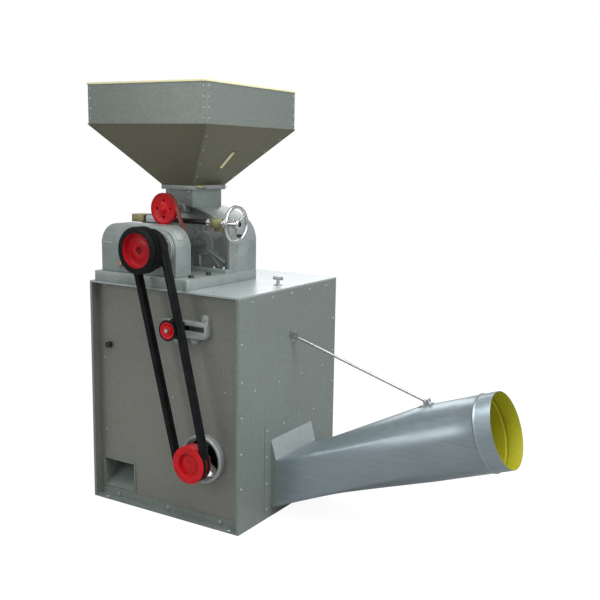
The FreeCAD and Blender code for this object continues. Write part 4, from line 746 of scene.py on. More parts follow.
    def hexagon_bolt(self, mesh: bmesh.types.BMesh, spot: Point3, way: Point3, across: float,
                     height: float, washer: float = 0.0, finish: int = 0) -> None:
        """A hexagon head with a chamfered top and perhaps a washer under it.

        Args:
            mesh: The mesh that it is added to.
            spot: Where the head stands on its seat.
            way: The way that it points.
            across: The size across its flats.
            height: The head's height.
            washer: The washer's radius, or 0 for none.
            finish: The index of the finish on it.
        """
        place = Matrix.Translation(spot) @ Vector(way).to_track_quat("Z", "Y").to_matrix().to_4x4()
        low = 0.0
        if washer > 0:
            self.turned_at(mesh, place, [(0, 0), (0, washer), (1.2, washer), (1.6, washer - 0.5), (1.6, 0)],
                           32, finish)
            low = 1.6
        corner = across / math.sqrt(3)
        self.turned_at(mesh, place, [(low, 0), (low, corner), (low + height * 0.8, corner),
                                     (low + height, corner * 0.84), (low + height, 0)], 6, finish)

    def rivet(self, mesh: bmesh.types.BMesh, spot: Point3, way: Point3, radius: float = 4.0,
              height: float = 2.2, finish: int = 0) -> None:
        """A domed rivet head.

        Args:
            mesh: The mesh that it is added to.
            spot: Where the head stands on the sheet.
            way: The way that it points.
            radius: The head's radius.
            height: The head's height.
            finish: The index of the finish on it.
        """
        place = Matrix.Translation(spot) @ Vector(way).to_track_quat("Z", "Y").to_matrix().to_4x4()
        dome = [(0.0, radius), (height * 0.45, radius * 0.92), (height * 0.8, radius * 0.66),
                (height * 0.96, radius * 0.32), (height, 0.0)]
        self.turned_at(mesh, place, [(-0.2, 0.0), (-0.2, radius)] + dome, 14, finish)

    def pipe(self, mesh: bmesh.types.BMesh, path: Sequence[Vector], radii: Sequence[float] | float,
             steps: int = 16, closed: bool = False, finish: int = 0) -> None:
        """A round pipe along a path.

        Args:
            mesh: The mesh that it is added to.
            path: The points that its middle passes.
            radii: Its radius, or one for each point.
            steps: How many sides it has.
            closed: True if the path closes on itself.
            finish: The index of the finish on it.
        """
        count = len(path)
        sizes = [radii] * count if isinstance(radii, (int, float)) else list(radii)
        rings = []
        side = None
        for index, point in enumerate(path):
            before = path[index - 1] if closed or index else point
            after = path[(index + 1) % count] if closed or index + 1 < count else point
            way = (after - before).normalized()
            if side is None:
                side = way.orthogonal().normalized()
            side = (side - way * side.dot(way)).normalized()
            across = way.cross(side)
            rings.append([mesh.verts.new(point + (side * math.cos(a) + across * math.sin(a)) * sizes[index])
                          for a in (2 * math.pi * step / steps for step in range(steps))])
        last = count if closed else count - 1
        for index in range(last):
            near, far = rings[index], rings[(index + 1) % count]
            shift = 0
            if closed and index == count - 1:
                shift = min(range(steps), key=lambda k: (near[0].co - far[k].co).length)
            for step in range(steps):
                after = (step + 1) % steps
                face = mesh.faces.new((near[step], near[after], far[(after + shift) % steps],
                                       far[(step + shift) % steps]))
                face.material_index = finish
        if not closed:
            mesh.faces.new(rings[0]).material_index = finish
            mesh.faces.new(rings[-1]).material_index = finish

    def solid(self, node: str, ease: float, finish: int = 0) -> bmesh.types.BMesh:
        """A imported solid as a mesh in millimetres, its flat faces whole and its edges eased.

        Args:
            node: The solid's name.
            ease: How wide its edges are eased.
            finish: The index of the finish on it.

        Returns:
            The eased mesh.
        """
        mesh = self.blank()
        mesh.from_mesh(self.frame["nodes"][node].data)
        bmesh.ops.scale(mesh, vec=(1000, 1000, 1000), verts=mesh.verts)
        bmesh.ops.remove_doubles(mesh, verts=mesh.verts, dist=0.004)
        bmesh.ops.dissolve_limit(mesh, angle_limit=math.radians(0.6), use_dissolve_boundaries=False,
                                 verts=mesh.verts, edges=mesh.edges)
        edges = [edge for edge in mesh.edges
                 if len(edge.link_faces) == 2 and edge.calc_face_angle(0.0) > math.radians(34)]
        bmesh.ops.bevel(mesh, geom=edges, offset=ease, segments=2, profile=0.5, affect="EDGES",
                        clamp_overlap=True)
        for face in mesh.faces:
            face.material_index = finish
        return mesh

    def ship(self, name: str, mesh: bmesh.types.BMesh, body: str, slot: Slot, finishes: Iterable[Finish],
             replaces: Sequence[str] = (), sharp: float = 32.0) -> bpy.types.Object:
        """Closes a mesh, shades it, dresses it and fastens it to its body.

        Args:
            name: The piece's name.
            mesh: The mesh in millimetres.
            body: The body that it rides on.
            slot: The record's slot; not used.
            finishes: The finishes in the order of their indices.
            replaces: The solids that it stands for.
            sharp: The angle in degrees past which an edge stays sharp.

        Returns:
            The finished object.
        """
        bmesh.ops.remove_doubles(mesh, verts=mesh.verts, dist=0.0005)
        loose = [vert for vert in mesh.verts if not vert.link_faces]
        bmesh.ops.delete(mesh, geom=loose, context="VERTS")
        bmesh.ops.recalc_face_normals(mesh, faces=mesh.faces)
        bmesh.ops.scale(mesh, vec=(MM, MM, MM), verts=mesh.verts)
        data = bpy.data.meshes.new(name)
        mesh.to_mesh(data)
        mesh.free()
        for polygon in data.polygons:
            polygon.use_smooth = True
        data.set_sharp_from_angle(angle=math.radians(sharp))
        for finish in finishes:
            data.materials.append(finish.material())
        piece = bpy.data.objects.new(name, data)
        bpy.context.scene.collection.objects.link(piece)
        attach(piece, body)
        if replaces:
            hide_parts(*replaces)
        LOG.info("%s: %d faces on %s", name, len(data.polygons), body)
        return piece

    def dress(self, finish: Finish, *nodes: str) -> None:
        """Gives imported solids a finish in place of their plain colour.

        Args:
            finish: The finish.
            *nodes: The solids' names.
        """
        for node in nodes:
            materials = self.frame["nodes"][node].data.materials
            materials.clear()
            materials.append(finish.material())
            LOG.info("%s: dressed in %s", node, finish.name)


@dataclass
class Studio:
    """The floor, the lights and the camera."""

    position: Point3 = (1.91969, -2.49867, 1.2493)
    yaw: float = 29.78
    pitch: float = 9.17
    roll: float = 1.26
    lens: float = 51.67
    shift: Point2 = (-0.0548, -0.0070)

    def camera(self) -> None:
        """Sets the camera where the photograph was taken."""
        yaw, pitch, roll = (math.radians(angle) for angle in (self.yaw, self.pitch, self.roll))
        ahead = Vector((-math.sin(yaw) * math.cos(pitch), math.cos(yaw) * math.cos(pitch), -math.sin(pitch)))
        right = Vector((math.cos(yaw), math.sin(yaw), 0.0))
        above = right.cross(ahead)
        across = right * math.cos(roll) + above * math.sin(roll)
        upward = above * math.cos(roll) - right * math.sin(roll)
        turn = Matrix((across, upward, -ahead)).transposed().to_4x4()
        data = bpy.data.cameras.new("photo_camera")
        data.sensor_width = 36.0
        data.lens = self.lens
        data.shift_x, data.shift_y = self.shift
        data.clip_end = 60.0
        camera = bpy.data.objects.new("photo_camera", data)
        camera.matrix_world = Matrix.Translation(self.position) @ turn
        bpy.context.scene.collection.objects.link(camera)
        bpy.context.scene.camera = camera

    def seen(self, recipe: Recipe) -> bpy.types.NodeSocket:
        """One where a ray comes from the camera or a glass, else zero."""
        path = recipe.tree.nodes.new("ShaderNodeLightPath")
        total = recipe.sum(path.outputs["Is Camera Ray"], path.outputs["Is Transmission Ray"])
        return recipe.span(total, 0.0, 1.0)

    def floor(self) -> None:
        """A plain pale floor that keeps the machine's shadow."""
        mesh = bmesh.new()
        bmesh.ops.create_grid(mesh, x_segments=12, y_segments=12, size=9.0)
        data = bpy.data.meshes.new("floor")
        mesh.to_mesh(data)
        mesh.free()
        recipe = Recipe("pale_floor")
        recipe.use(Base_Color=(0.42, 0.42, 0.41), Roughness=0.9, Specular_IOR_Level=0.0)
        glow = recipe.tree.nodes.new("ShaderNodeEmission")
        glow.inputs["Color"].default_value = (1.0, 1.0, 1.0, 1.0)
        glow.inputs["Strength"].default_value = 1.5
        mix = recipe.tree.nodes.new("ShaderNodeMixShader")
        recipe.tree.links.new(recipe.span(self.seen(recipe), 0.0, 0.62), mix.inputs[0])
        recipe.tree.links.new(recipe.shader.outputs[0], mix.inputs[1])
        recipe.tree.links.new(glow.outputs[0], mix.inputs[2])
        recipe.tree.links.new(mix.outputs[0], recipe.output.inputs["Surface"])
        data.materials.append(recipe.material)
        floor = bpy.data.objects.new("floor", data)
        bpy.context.scene.collection.objects.link(floor)

    def world(self) -> None:
        """An even pale sky that shows as white."""
        world = bpy.data.worlds.new("sky")
        world.use_nodes = True
        bpy.context.scene.world = world
        tree = world.node_tree
        tree.nodes.clear()
        output = tree.nodes.new("ShaderNodeOutputWorld")
        light = tree.nodes.new("ShaderNodeBackground")
        light.inputs["Color"].default_value = (0.93, 0.96, 1.0, 1.0)
        light.inputs["Strength"].default_value = 0.48
        white = tree.nodes.new("ShaderNodeBackground")
        white.inputs["Color"].default_value = (1.0, 1.0, 1.0, 1.0)
        path = tree.nodes.new("ShaderNodeLightPath")
        mix = tree.nodes.new("ShaderNodeMixShader")
        tree.links.new(path.outputs["Is Camera Ray"], mix.inputs[0])
        tree.links.new(light.outputs[0], mix.inputs[1])
        tree.links.new(white.outputs[0], mix.inputs[2])
        tree.links.new(mix.outputs[0], output.inputs["Surface"])

    def lamp(self, name: str, place: Point3, aim: Point3, size: float, power: float, colour: Colour) -> None:
        """A square soft lamp.

        Args:
            name: The lamp's name.
            place: Where it hangs.
            aim: The point that it faces.
            size: The side of its square in metres.
            power: Its power in watts.
            colour: The colour of its light.
        """
        data = bpy.data.lights.new(name, "AREA")
        data.shape = "SQUARE"
        data.size = size
        data.energy = power
        data.color = colour
        lamp = bpy.data.objects.new(name, data)
        lamp.location = place
        lamp.rotation_euler = (Vector(aim) - Vector(place)).to_track_quat("-Z", "Y").to_euler()
        bpy.context.scene.collection.objects.link(lamp)

    def build(self) -> None:
        """Sets up the floor, the sky, the lamps and the camera."""
        bpy.context.scene.view_settings.view_transform = "Standard"
        self.camera()
        self.floor()
        self.world()
        self.lamp("roof_lamp", (0.9, -0.6, 3.6), (0.3, 0.0, 0.8), 2.4, 76.0, (1.0, 1.0, 1.0))
        self.lamp("right_lamp", (3.6, -0.7, 2.3), (0.2, 0.0, 0.7), 1.8, 58.0, (0.97, 0.98, 1.0))
        self.lamp("front_lamp", (-1.6, -3.6, 2.2), (0.0, 0.0, 0.7), 1.6, 26.0, (1.0, 0.98, 0.95))
        self.lamp("rear_lamp", (-1.8, 3.2, 2.4), (0.0, 0.0, 0.7), 2.0, 30.0, (1.0, 1.0, 1.0))
        LOG.info("studio: floor, sky, four lamps and camera")


@dataclass
class Cabinet:
    """The sheet cabinet on its angle base."""

    shop: Workshop
    half_width: float = 323.0
    side_face: float = 325.0
    web_front: float = -276.0
    flange_tip: float = -306.0
    rivet_radius: float = 3.6
    flange_rivets: tuple[float, ...] = (157.0, 277.0, 400.0, 520.0, 646.0)
    side_row: float = 476.0
    side_row_spots: tuple[float, ...] = (-218.0, -72.0, 74.0, 220.0)

    def sheets(self) -> None:
        """Dresses the sheets, the angles and the posts."""
        paint = self.shop.finishes
        # The front panel takes the darker copy of the hammertone: painted shade.
        self.shop.dress(paint.front_sheet, "front_panel")
        self.shop.dress(paint.sheet, "right_panel", "left_panel", "back_panel", "base_angles", "inner_frame")
        # The top panel takes the lighter copy of the hammertone: painted light from above.
        self.shop.dress(paint.top_sheet, "top_panel")

    def rivets(self) -> None:
        """Rows of rivets on the side sheets, along the flanges and along the base."""
        mesh = self.shop.blank()
        for z in self.flange_rivets:
            for y in (-294.0, 294.0):
                self.shop.rivet(mesh, (self.side_face, y, z), (1, 0, 0), self.rivet_radius, 1.9)
                self.shop.rivet(mesh, (-self.side_face, y, z), (-1, 0, 0), self.rivet_radius, 1.9)
        for side in (-1, 1):
            for y in (-236.0, -118.0, 0.0, 118.0, 236.0):
                self.shop.rivet(mesh, (side * self.side_face, y, 778.0), (side, 0, 0), 3.2, 1.7)
        for y in self.side_row_spots:
            self.shop.rivet(mesh, (self.side_face, y, self.side_row), (1, 0, 0), 3.4, 1.8)
        for x in (-290.0, -120.0, 60.0, 290.0):
            self.shop.rivet(mesh, (x, self.web_front, 782.0), (0, -1, 0), 3.2, 1.7)
            self.shop.rivet(mesh, (x, -self.web_front, 782.0), (0, 1, 0), 3.2, 1.7)
            self.shop.rivet(mesh, (x, -self.web_front, 60.0), (0, 1, 0), 3.2, 1.7)
        for x, z in ((-292.0, 250.0), (-292.0, 520.0), (292.0, 560.0), (20.0, 420.0), (245.0, 470.0)):
            self.shop.rivet(mesh, (x, self.web_front, z), (0, -1, 0), 2.8, 1.5)
        self.shop.ship("cabinet_rivets", mesh, "cabinet", Slot.ZINC, [self.shop.finishes.rivet])

    def base_bolts(self) -> None:
        """Hexagon bolts that hold the sheets to the base angles."""
        mesh = self.shop.blank()
        for x in (-230.0, 0.0, 230.0):
            self.shop.hexagon_bolt(mesh, (x, -280.0, 16.0), (0, -1, 0), 13.0, 5.0, 0.0)
            self.shop.hexagon_bolt(mesh, (x, 280.0, 16.0), (0, 1, 0), 13.0, 5.0, 0.0)
        self.shop.ship("base_bolts", mesh, "cabinet", Slot.ZINC, [self.shop.finishes.zinc])

    def outlet_hem(self) -> None:
        """The folded edge round the bean outlet."""
        mesh = self.shop.blank()
        low_x, high_x, low_z, high_z = -300.0, -160.0, 34.0, 140.0
        front = self.web_front - 3.0
        for low, high in (((low_x - 7, front, low_z - 7), (high_x + 7, self.web_front, low_z)),
                          ((low_x - 7, front, high_z), (high_x + 7, self.web_front, high_z + 7)),
                          ((low_x - 7, front, low_z), (low_x, self.web_front, high_z)),
                          ((high_x, front, low_z), (high_x + 7, self.web_front, high_z))):
            self.shop.block(mesh, low, high, 1.0)
        for x in (low_x - 3.5, high_x + 3.5):
            for z in (60.0, 112.0):
                self.shop.rivet(mesh, (x, front, z), (0, -1, 0), 2.4, 1.3)
        self.shop.ship("outlet_hem", mesh, "cabinet", Slot.HAMMERED, [self.shop.finishes.sheet])

    def build(self) -> None:
        """Builds the cabinet."""
        self.sheets()
        self.rivets()
        self.base_bolts()
        self.outlet_hem()


@dataclass
class BeanPath:
    """What the hulled beans fall past on their way out."""

    shop: Workshop
    knob_centre: Point2 = (-265.0, 570.0)
    knob_radius: float = 11.0
    knob_front: float = -292.0

    def chutes(self) -> None:
        """Dresses the chute, the funnel and the bush."""
        paint = self.shop.finishes
        self.shop.dress(paint.sheet, "outlet_chute", "receiving_funnel")
        self.shop.dress(paint.zinc, "deflector_bush")
        self.shop.dress(paint.grip, "deflector_plate")

    def build(self) -> None:
        """Builds the bean path."""
        self.chutes()


@dataclass
class Hopper:
    """The square hopper: a straight band over a cone."""

    shop: Workshop
    low: tuple[float, float, float, float] = (-171.0, -98.0, -33.0, 86.0)
    high: tuple[float, float, float, float] = (-341.0, -285.0, 177.0, 235.0)
    bottom: float = 1137.0
    middle: float = 1344.0
    top: float = 1484.0
    wall: float = 2.0
    hem: float = 7.0
    slot_low: Point2 = (-32.0, 1201.0)
    slot_high: Point2 = (-8.0, 1257.0)

    def ring(self, mesh: bmesh.types.BMesh, box: tuple[float, float, float, float], z: float,
             step: float, corner: float) -> list[bmesh.types.BMVert]:
        """A square ring of points with round corners.

        Args:
            mesh: The mesh that it is added to.
            box: West, south, east and north sides.
            z: Its height.
            step: How far it is drawn in.
            corner: The corners' radius.

        Returns:
            The ring's points, anticlockwise.
        """
        west, south, east, north = box
        west, south, east, north = west + step, south + step, east - step, north - step
        points: list[Point2] = []
        for x, y, start in ((east - corner, north - corner, 0), (west + corner, north - corner, 90),
                            (west + corner, south + corner, 180), (east - corner, south + corner, 270)):
            points += Outline.arc((x, y), corner, start, start + 90, 3)
        return [mesh.verts.new((x, y, z)) for x, y in points]

    def skin(self, mesh: bmesh.types.BMesh, rings: Sequence[list[bmesh.types.BMVert]], finish: int) -> None:
        """Joins rings of points with faces."""
        for near, far in zip(rings, rings[1:]):
            for index in range(len(near)):
                after = (index + 1) % len(near)
                mesh.faces.new((near[index], near[after], far[after], far[index])).material_index = finish

    def band(self) -> None:
        """The straight band with its folded rim."""
        mesh = self.shop.blank()
        corner = 3.0
        outside = [self.ring(mesh, self.high, self.middle, 0.0, corner),
                   self.ring(mesh, self.high, self.top - self.hem - 1.5, 0.0, corner),
                   self.ring(mesh, self.high, self.top - self.hem, -1.6, corner),
                   self.ring(mesh, self.high, self.top - self.hem + 0.6, -2.0, corner),
                   self.ring(mesh, self.high, self.top - 1.4, -2.0, corner),
                   self.ring(mesh, self.high, self.top - 0.3, -1.4, corner),
                   self.ring(mesh, self.high, self.top, -0.4, corner)]
        inside = [self.ring(mesh, self.high, self.top, self.wall, corner),
                  self.ring(mesh, self.high, self.middle, self.wall, corner)]
        self.skin(mesh, outside[:3], 0)
        # The hem and the band's top edge take the cream primer: painted highlight on the rim.
        self.skin(mesh, outside[2:] + inside[:1], 1)
        self.skin(mesh, inside, 2)
        self.skin(mesh, [inside[-1], outside[0]], 0)
        paint = self.shop.finishes
        self.shop.ship("hopper_band_sheet", mesh, "cabinet", Slot.HAMMERED,
                       [paint.hopper_sheet, paint.primer_painted_light, paint.primer], ["hopper_band"])

    def side(self, mesh: bmesh.types.BMesh, step: float, finish: int) -> None:
        """The cone's four sloping faces, the east one with its sight slot.

        Args:
            mesh: The mesh that it is added to.
            step: How far they are drawn in.
            finish: The index of the finish on them.
        """
        def corner(box: tuple[float, float, float, float], east: bool, north: bool, z: float) -> Vector:
            x = box[2] - step if east else box[0] + step
            y = box[3] - step if north else box[1] + step
            return Vector((x, y, z))

        corners = [(False, False), (True, False), (True, True), (False, True)]
        for index, (east, north) in enumerate(corners):
            next_east, next_north = corners[(index + 1) % 4]
            quad = [corner(self.low, east, north, self.bottom), corner(self.low, next_east, next_north, self.bottom),
                    corner(self.high, next_east, next_north, self.middle), corner(self.high, east, north, self.middle)]
            if not (east and next_east):
                mesh.faces.new([mesh.verts.new(point) for point in quad]).material_index = finish
                continue
            self.slotted(mesh, quad, finish)

    def slotted(self, mesh: bmesh.types.BMesh, quad: Sequence[Vector], finish: int) -> None:
        """The east face, left open where the sight slot is.

        Args:
            mesh: The mesh that it is added to.
            quad: Low south, low north, high north and high south corners.
            finish: The index of the finish on it.
        """
        def spot(y: float, z: float) -> Vector:
            share = (z - self.bottom) / (self.middle - self.bottom)
            low = quad[0].lerp(quad[1], 0.0)
            x = low.x + (quad[3].x - low.x) * share
            return Vector((x, y, z))

        south, low_z = self.slot_low
        north, high_z = self.slot_high
        inner = [spot(south, low_z), spot(north, low_z), spot(north, high_z), spot(south, high_z)]
        outer = list(quad)
        for index in range(4):
            after = (index + 1) % 4
            face = mesh.faces.new([mesh.verts.new(point) for point in
                                   (outer[index], outer[after], inner[after], inner[index])])
            face.material_index = finish

    def cone(self) -> None:
        """The cone's sheets and its seat flange."""
        mesh = self.shop.blank()
        self.side(mesh, 0.0, 0)
        self.side(mesh, self.wall, 1)
        west, south, east, north = self.low
        self.shop.block(mesh, (west - 5, south + 0.2, self.bottom + 0.1), (west + 1.6, north - 0.2, self.bottom + 2.9), 0.6)
        self.shop.block(mesh, (east - 1.6, south + 0.2, self.bottom + 0.1), (east + 5, north - 0.2, self.bottom + 2.9), 0.6)
        paint = self.shop.finishes
        # The cone's sheets take the darker olive hammertone: painted shade.
        self.shop.ship("hopper_cone_sheets", mesh, "cabinet", Slot.HAMMERED,
                       [paint.cone_sheet, paint.primer], ["hopper_cone"])

    def edge_point(self, share: float, along: float, out: float) -> Vector:
        """A spot on the cone's east face.

        Args:
            share: How far up the face, from 0 to 1.
            along: Y.
            out: How far it stands out.

        Returns:
            The spot.
        """
        x = self.low[2] + (self.high[2] - self.low[2]) * share
        z = self.bottom + (self.middle - self.bottom) * share
        normal = Vector((self.middle - self.bottom, 0, -(self.high[2] - self.low[2]))).normalized()
        return Vector((x, along, z)) + normal * out

    def seams(self) -> None:
        """Corner seams with rivets and the bead between band and cone."""
        mesh = self.shop.blank()
        west, south, east, north = self.high
        corners = [((self.low[0], self.low[1]), (west, south)), ((self.low[2], self.low[1]), (east, south)),
                   ((self.low[2], self.low[3]), (east, north)), ((self.low[0], self.low[3]), (west, north))]
        for (low_x, low_y), (high_x, high_y) in corners:
            start = Vector((low_x, low_y, self.bottom + 4))
            end = Vector((high_x, high_y, self.middle - 1))
            self.shop.pipe(mesh, [start, start.lerp(end, 0.5), end], 1.7, 8)
        for low, high in (((west - 1.4, south - 1.4, self.middle - 1.2), (east + 1.4, south, self.middle + 1.6)),
                          ((west - 1.4, north, self.middle - 1.2), (east + 1.4, north + 1.4, self.middle + 1.6)),
                          ((west - 1.4, south, self.middle - 1.2), (west, north, self.middle + 1.6)),
                          ((east, south, self.middle - 1.2), (east + 1.4, north, self.middle + 1.6))):
            self.shop.block(mesh, low, high, 0.5)
        paint = self.shop.finishes
        self.shop.ship("hopper_seams", mesh, "cabinet", Slot.HAMMERED, [paint.cone_sheet])
        mesh = self.shop.blank()
        for z in (1362.0, 1396.0, 1430.0, 1464.0):
            for x, y, way in ((east, south + 12, (1, 0, 0)), (east - 12, south, (0, -1, 0)),
                              (east, north - 12, (1, 0, 0)), (west, south + 12, (-1, 0, 0)),
                              (west + 12, north, (0, 1, 0)), (west, north - 12, (-1, 0, 0)),
                              (west + 12, south, (0, -1, 0)), (east - 12, north, (0, 1, 0))):
                self.shop.rivet(mesh, (x, y, z), way, 2.7, 1.6)
        for share in (0.16, 0.38, 0.6, 0.82):
            y_low = self.low[1] + (south - self.low[1]) * share
            y_high = self.low[3] + (north - self.low[3]) * share
            normal = (self.middle - self.bottom, 0, -(self.high[2] - self.low[2]))
            for y in (y_low + 13, y_high - 13):
                self.shop.rivet(mesh, tuple(self.edge_point(share, y, 0.0)), normal, 2.7, 1.5)
        self.shop.ship("hopper_rivets", mesh, "cabinet", Slot.ZINC, [paint.rivet])

    def sight_frame(self) -> None:
        """A narrow frame round the sight slot and a cream pane behind it, painted light standing for the lit inside of
        the hopper.
        """
        mesh = self.shop.blank()
        rise = self.middle - self.bottom
        low_share = (self.slot_low[1] - self.bottom) / rise
        high_share = (self.slot_high[1] - self.bottom) / rise
        south, north = self.slot_low[0], self.slot_high[0]

        def strip(first: tuple[float, float], second: tuple[float, float], finish: int, out: float) -> None:
            corners = [(first[0], first[1]), (second[0], first[1]), (second[0], second[1]), (first[0], second[1])]
            low = [mesh.verts.new(self.edge_point(share, y, out - 1.4)) for share, y in corners]
            high = [mesh.verts.new(self.edge_point(share, y, out)) for share, y in corners]
            faces = [low, high] + [[low[i], low[(i + 1) % 4], high[(i + 1) % 4], high[i]] for i in range(4)]
            for corner_points in faces:
                mesh.faces.new(corner_points).material_index = finish

        edge = 3.0 / rise
        strip((low_share - edge, south - 3), (low_share, north + 3), 0, 1.2)
        strip((high_share, south - 3), (high_share + edge, north + 3), 0, 1.2)
        strip((low_share, south - 3), (high_share, south), 0, 1.2)
        strip((low_share, north), (high_share, north + 3), 0, 1.2)
        # The pane behind the slot takes the cream primer: painted light of the hopper's lit inside.
        strip((low_share, south), (high_share, north), 1, -1.2)
        paint = self.shop.finishes
        self.shop.ship("sight_slot_frame", mesh, "cabinet", Slot.HAMMERED, [paint.cone_sheet, paint.primer_painted_light])

    def build(self) -> None:
        """Builds the hopper."""
        self.band()
        self.cone()
        self.seams()
        self.sight_frame()


@dataclass
class GearCase:
    """The plinth and the closed gear case behind the main pulley."""

    shop: Workshop
    shaft: Point2 = (-18.0, 934.0)
    plug: Point3 = (-202.0, -283.0, 865.0)
    seat: float = 836.0

    def castings(self) -> None:
        """Dresses the plinth, the case and its cover."""
        paint = self.shop.finishes
        ship = self.shop.ship
        ship("plinth_casting", self.shop.solid("head_plinth", 2.4), "cabinet", Slot.CAST, [paint.cast],
             ["head_plinth"])
        ship("gear_case_casting", self.shop.solid("gear_case", 3.2), "cabinet", Slot.CAST, [paint.cast],
             ["gear_case"])
        ship("gear_case_back", self.shop.solid("gear_case_cover", 1.6), "cabinet", Slot.CAST, [paint.cast],
             ["gear_case_cover"])

    def cap(self) -> None:
        """The stepped bearing cap round the main shaft."""
        mesh = self.shop.blank()
        outline = [(-283.0, 15.6), (-283.0, 56.0), (-286.6, 56.0), (-287.6, 55.4), (-288.0, 54.2),
                   (-288.4, 52.6), (-291.0, 51.6), (-292.0, 50.0), (-292.2, 34.0), (-292.8, 32.2),
                   (-293.6, 31.8), (-294.4, 30.4), (-296.0, 28.6), (-299.2, 28.0), (-300.0, 27.0), (-300.0, 15.6)]
        self.shop.spun(mesh, Axis.Y, (self.shaft[0], 0, self.shaft[1]), outline, 96)
        for number in range(6):
            angle = math.radians(60 * number + 30)
            spot = (self.shaft[0] + 42 * math.cos(angle), -292.0, self.shaft[1] + 42 * math.sin(angle))
            self.shop.hexagon_bolt(mesh, spot, (0, -1, 0), 9.0, 3.6, 0.0, 1)
        paint = self.shop.finishes
        self.shop.ship("bearing_cap_casting", mesh, "cabinet", Slot.CAST, [paint.cast, paint.zinc],
                       ["case_bearing_cap"])

    def relief(self) -> None:
        """The ridge left by the mould's joint and the square cover on the case's round corner, both in the lighter
        casting enamel as a painted highlight.
        """
        mesh = self.shop.blank()
        self.shop.block(mesh, (-291.2, -284.6, 934.6), (-240.0, -282.6, 938.4), 0.8)
        centre_x, centre_z, radius = -28.0, 932.0, 74.0
        for front, back, first, last, lift in ((-270.0, -266.0, 24.0, 52.0, 2.2), (-240.0, -236.0, 24.0, 52.0, 2.2),
                                               (-267.0, -239.0, 24.0, 27.0, 2.2), (-267.0, -239.0, 49.0, 52.0, 2.2),
                                               (-267.0, -239.0, 26.0, 50.0, 0.8)):
            outside = Outline.arc((centre_x, centre_z), radius + lift, first, last, 8)
            inside = Outline.arc((centre_x, centre_z), radius - 1.0, last, first, 8)
            self.shop.drawn(mesh, Axis.Y, outside + inside, front, back - front, 0.5)
        self.shop.ship("gear_case_relief", mesh, "cabinet", Slot.CAST, [self.shop.finishes.highlight_cast])

    def fasteners(self) -> None:
        """The plinth's bolts and the drain plug."""
        mesh = self.shop.blank()
        for x, y in ((76.0, -242.0), (77.0, -149.0), (-280.0, -170.0)):
            self.shop.hexagon_bolt(mesh, (x, y, self.seat), (0, 0, 1), 17.0, 8.0, 11.0, 0)
        x, y, z = self.plug
        self.shop.hexagon_bolt(mesh, (x, y, z), (0, -1, 0), 17.0, 7.0, 10.6, 1)
        paint = self.shop.finishes
        self.shop.ship("head_bolts", mesh, "cabinet", Slot.ZINC, [paint.dark_steel, paint.plug],
                       ["head_fasteners"])

    def build(self) -> None:
        """Builds the gear case."""
        self.castings()
        self.cap()
        self.fasteners()
        self.relief()


@dataclass
class RollChamber:
    """The arched chamber with its end walls, bearings, rolls and gears."""

    shop: Workshop

    def castings(self) -> None:
        """Dresses the chamber and its end walls as castings with soft edges."""
        paint = self.shop.finishes
        ship = self.shop.ship
        ship("chamber_casting", self.shop.solid("roll_chamber", 2.2), "cabinet", Slot.CAST, [paint.cast],
             ["roll_chamber"])
        ship("front_wall_casting", self.shop.solid("front_end_wall", 1.2), "cabinet", Slot.CAST,
             [paint.wall], ["front_end_wall"])
        ship("rear_wall_casting", self.shop.solid("rear_end_wall", 1.2), "cabinet", Slot.CAST,
             [paint.wall], ["rear_end_wall"])

    def bolts(self) -> None:
        """Bolts along the chamber's foot and on its end walls."""
        mesh = self.shop.blank()
        for x in (-262.0, -160.0, -66.0, 46.0, 88.0):
            self.shop.hexagon_bolt(mesh, (x, -80.0, 850.0), (0, 0, 1), 13.0, 6.0, 8.5)
        self.shop.hexagon_bolt(mesh, (105.2, -31.0, 893.0), (1, 0, 0), 9.0, 4.0, 0.0)
        self.shop.ship("chamber_bolts", mesh, "cabinet", Slot.ZINC, [self.shop.finishes.zinc])

    def ribs(self) -> None:
        """Ribs on the front wall and the lip along the chamber's front edge, in the lighter casting enamel as a
        painted highlight.
        """
        mesh = self.shop.blank()
        for start, end, radius in (((-6.0, -56.0, 916.0), (80.0, -56.0, 868.0), 4.2),
                                   ((-37.0, -56.0, 890.0), (-34.0, -56.0, 848.0), 4.2),
                                   ((-20.0, -56.0, 976.0), (-12.0, -56.0, 1004.0), 3.6)):
            self.shop.rod(mesh, start, end, radius, 16, 1.0)
        frame = Matrix.Translation((-18.0, 0.0, 934.0)) @ Axis.Y.turn()
        self.shop.turned_at(mesh, frame, [(-55.0, 44.2), (-57.4, 44.0), (-58.6, 42.4), (-58.6, 36.0), (-57.6, 34.6),
                                          (-55.0, 34.0)], 72)
        self.shop.block(mesh, (107.2, -69.0, 850.0), (109.6, -63.0, 1000.0), 0.8)
        self.shop.ship("chamber_ribs", mesh, "cabinet", Slot.CAST, [self.shop.finishes.highlight_cast])

    def inside(self) -> None:
        """Dresses the bearings, the rolls, the gears and their shafts."""
        paint = self.shop.finishes
        self.shop.dress(paint.cast, "main_bearings")
        self.shop.dress(paint.core, "fast_roll_core", "slow_roll_core", "slow_bearing_blocks")
        self.shop.dress(paint.roll, "fast_roll_rubber", "slow_roll_rubber")
        self.shop.dress(paint.steel, "drive_gear", "driven_gear", "slow_shaft", "main_shaft")

    def build(self) -> None:
        """Builds the chamber."""
        self.castings()
        self.bolts()
        self.ribs()
        self.inside()


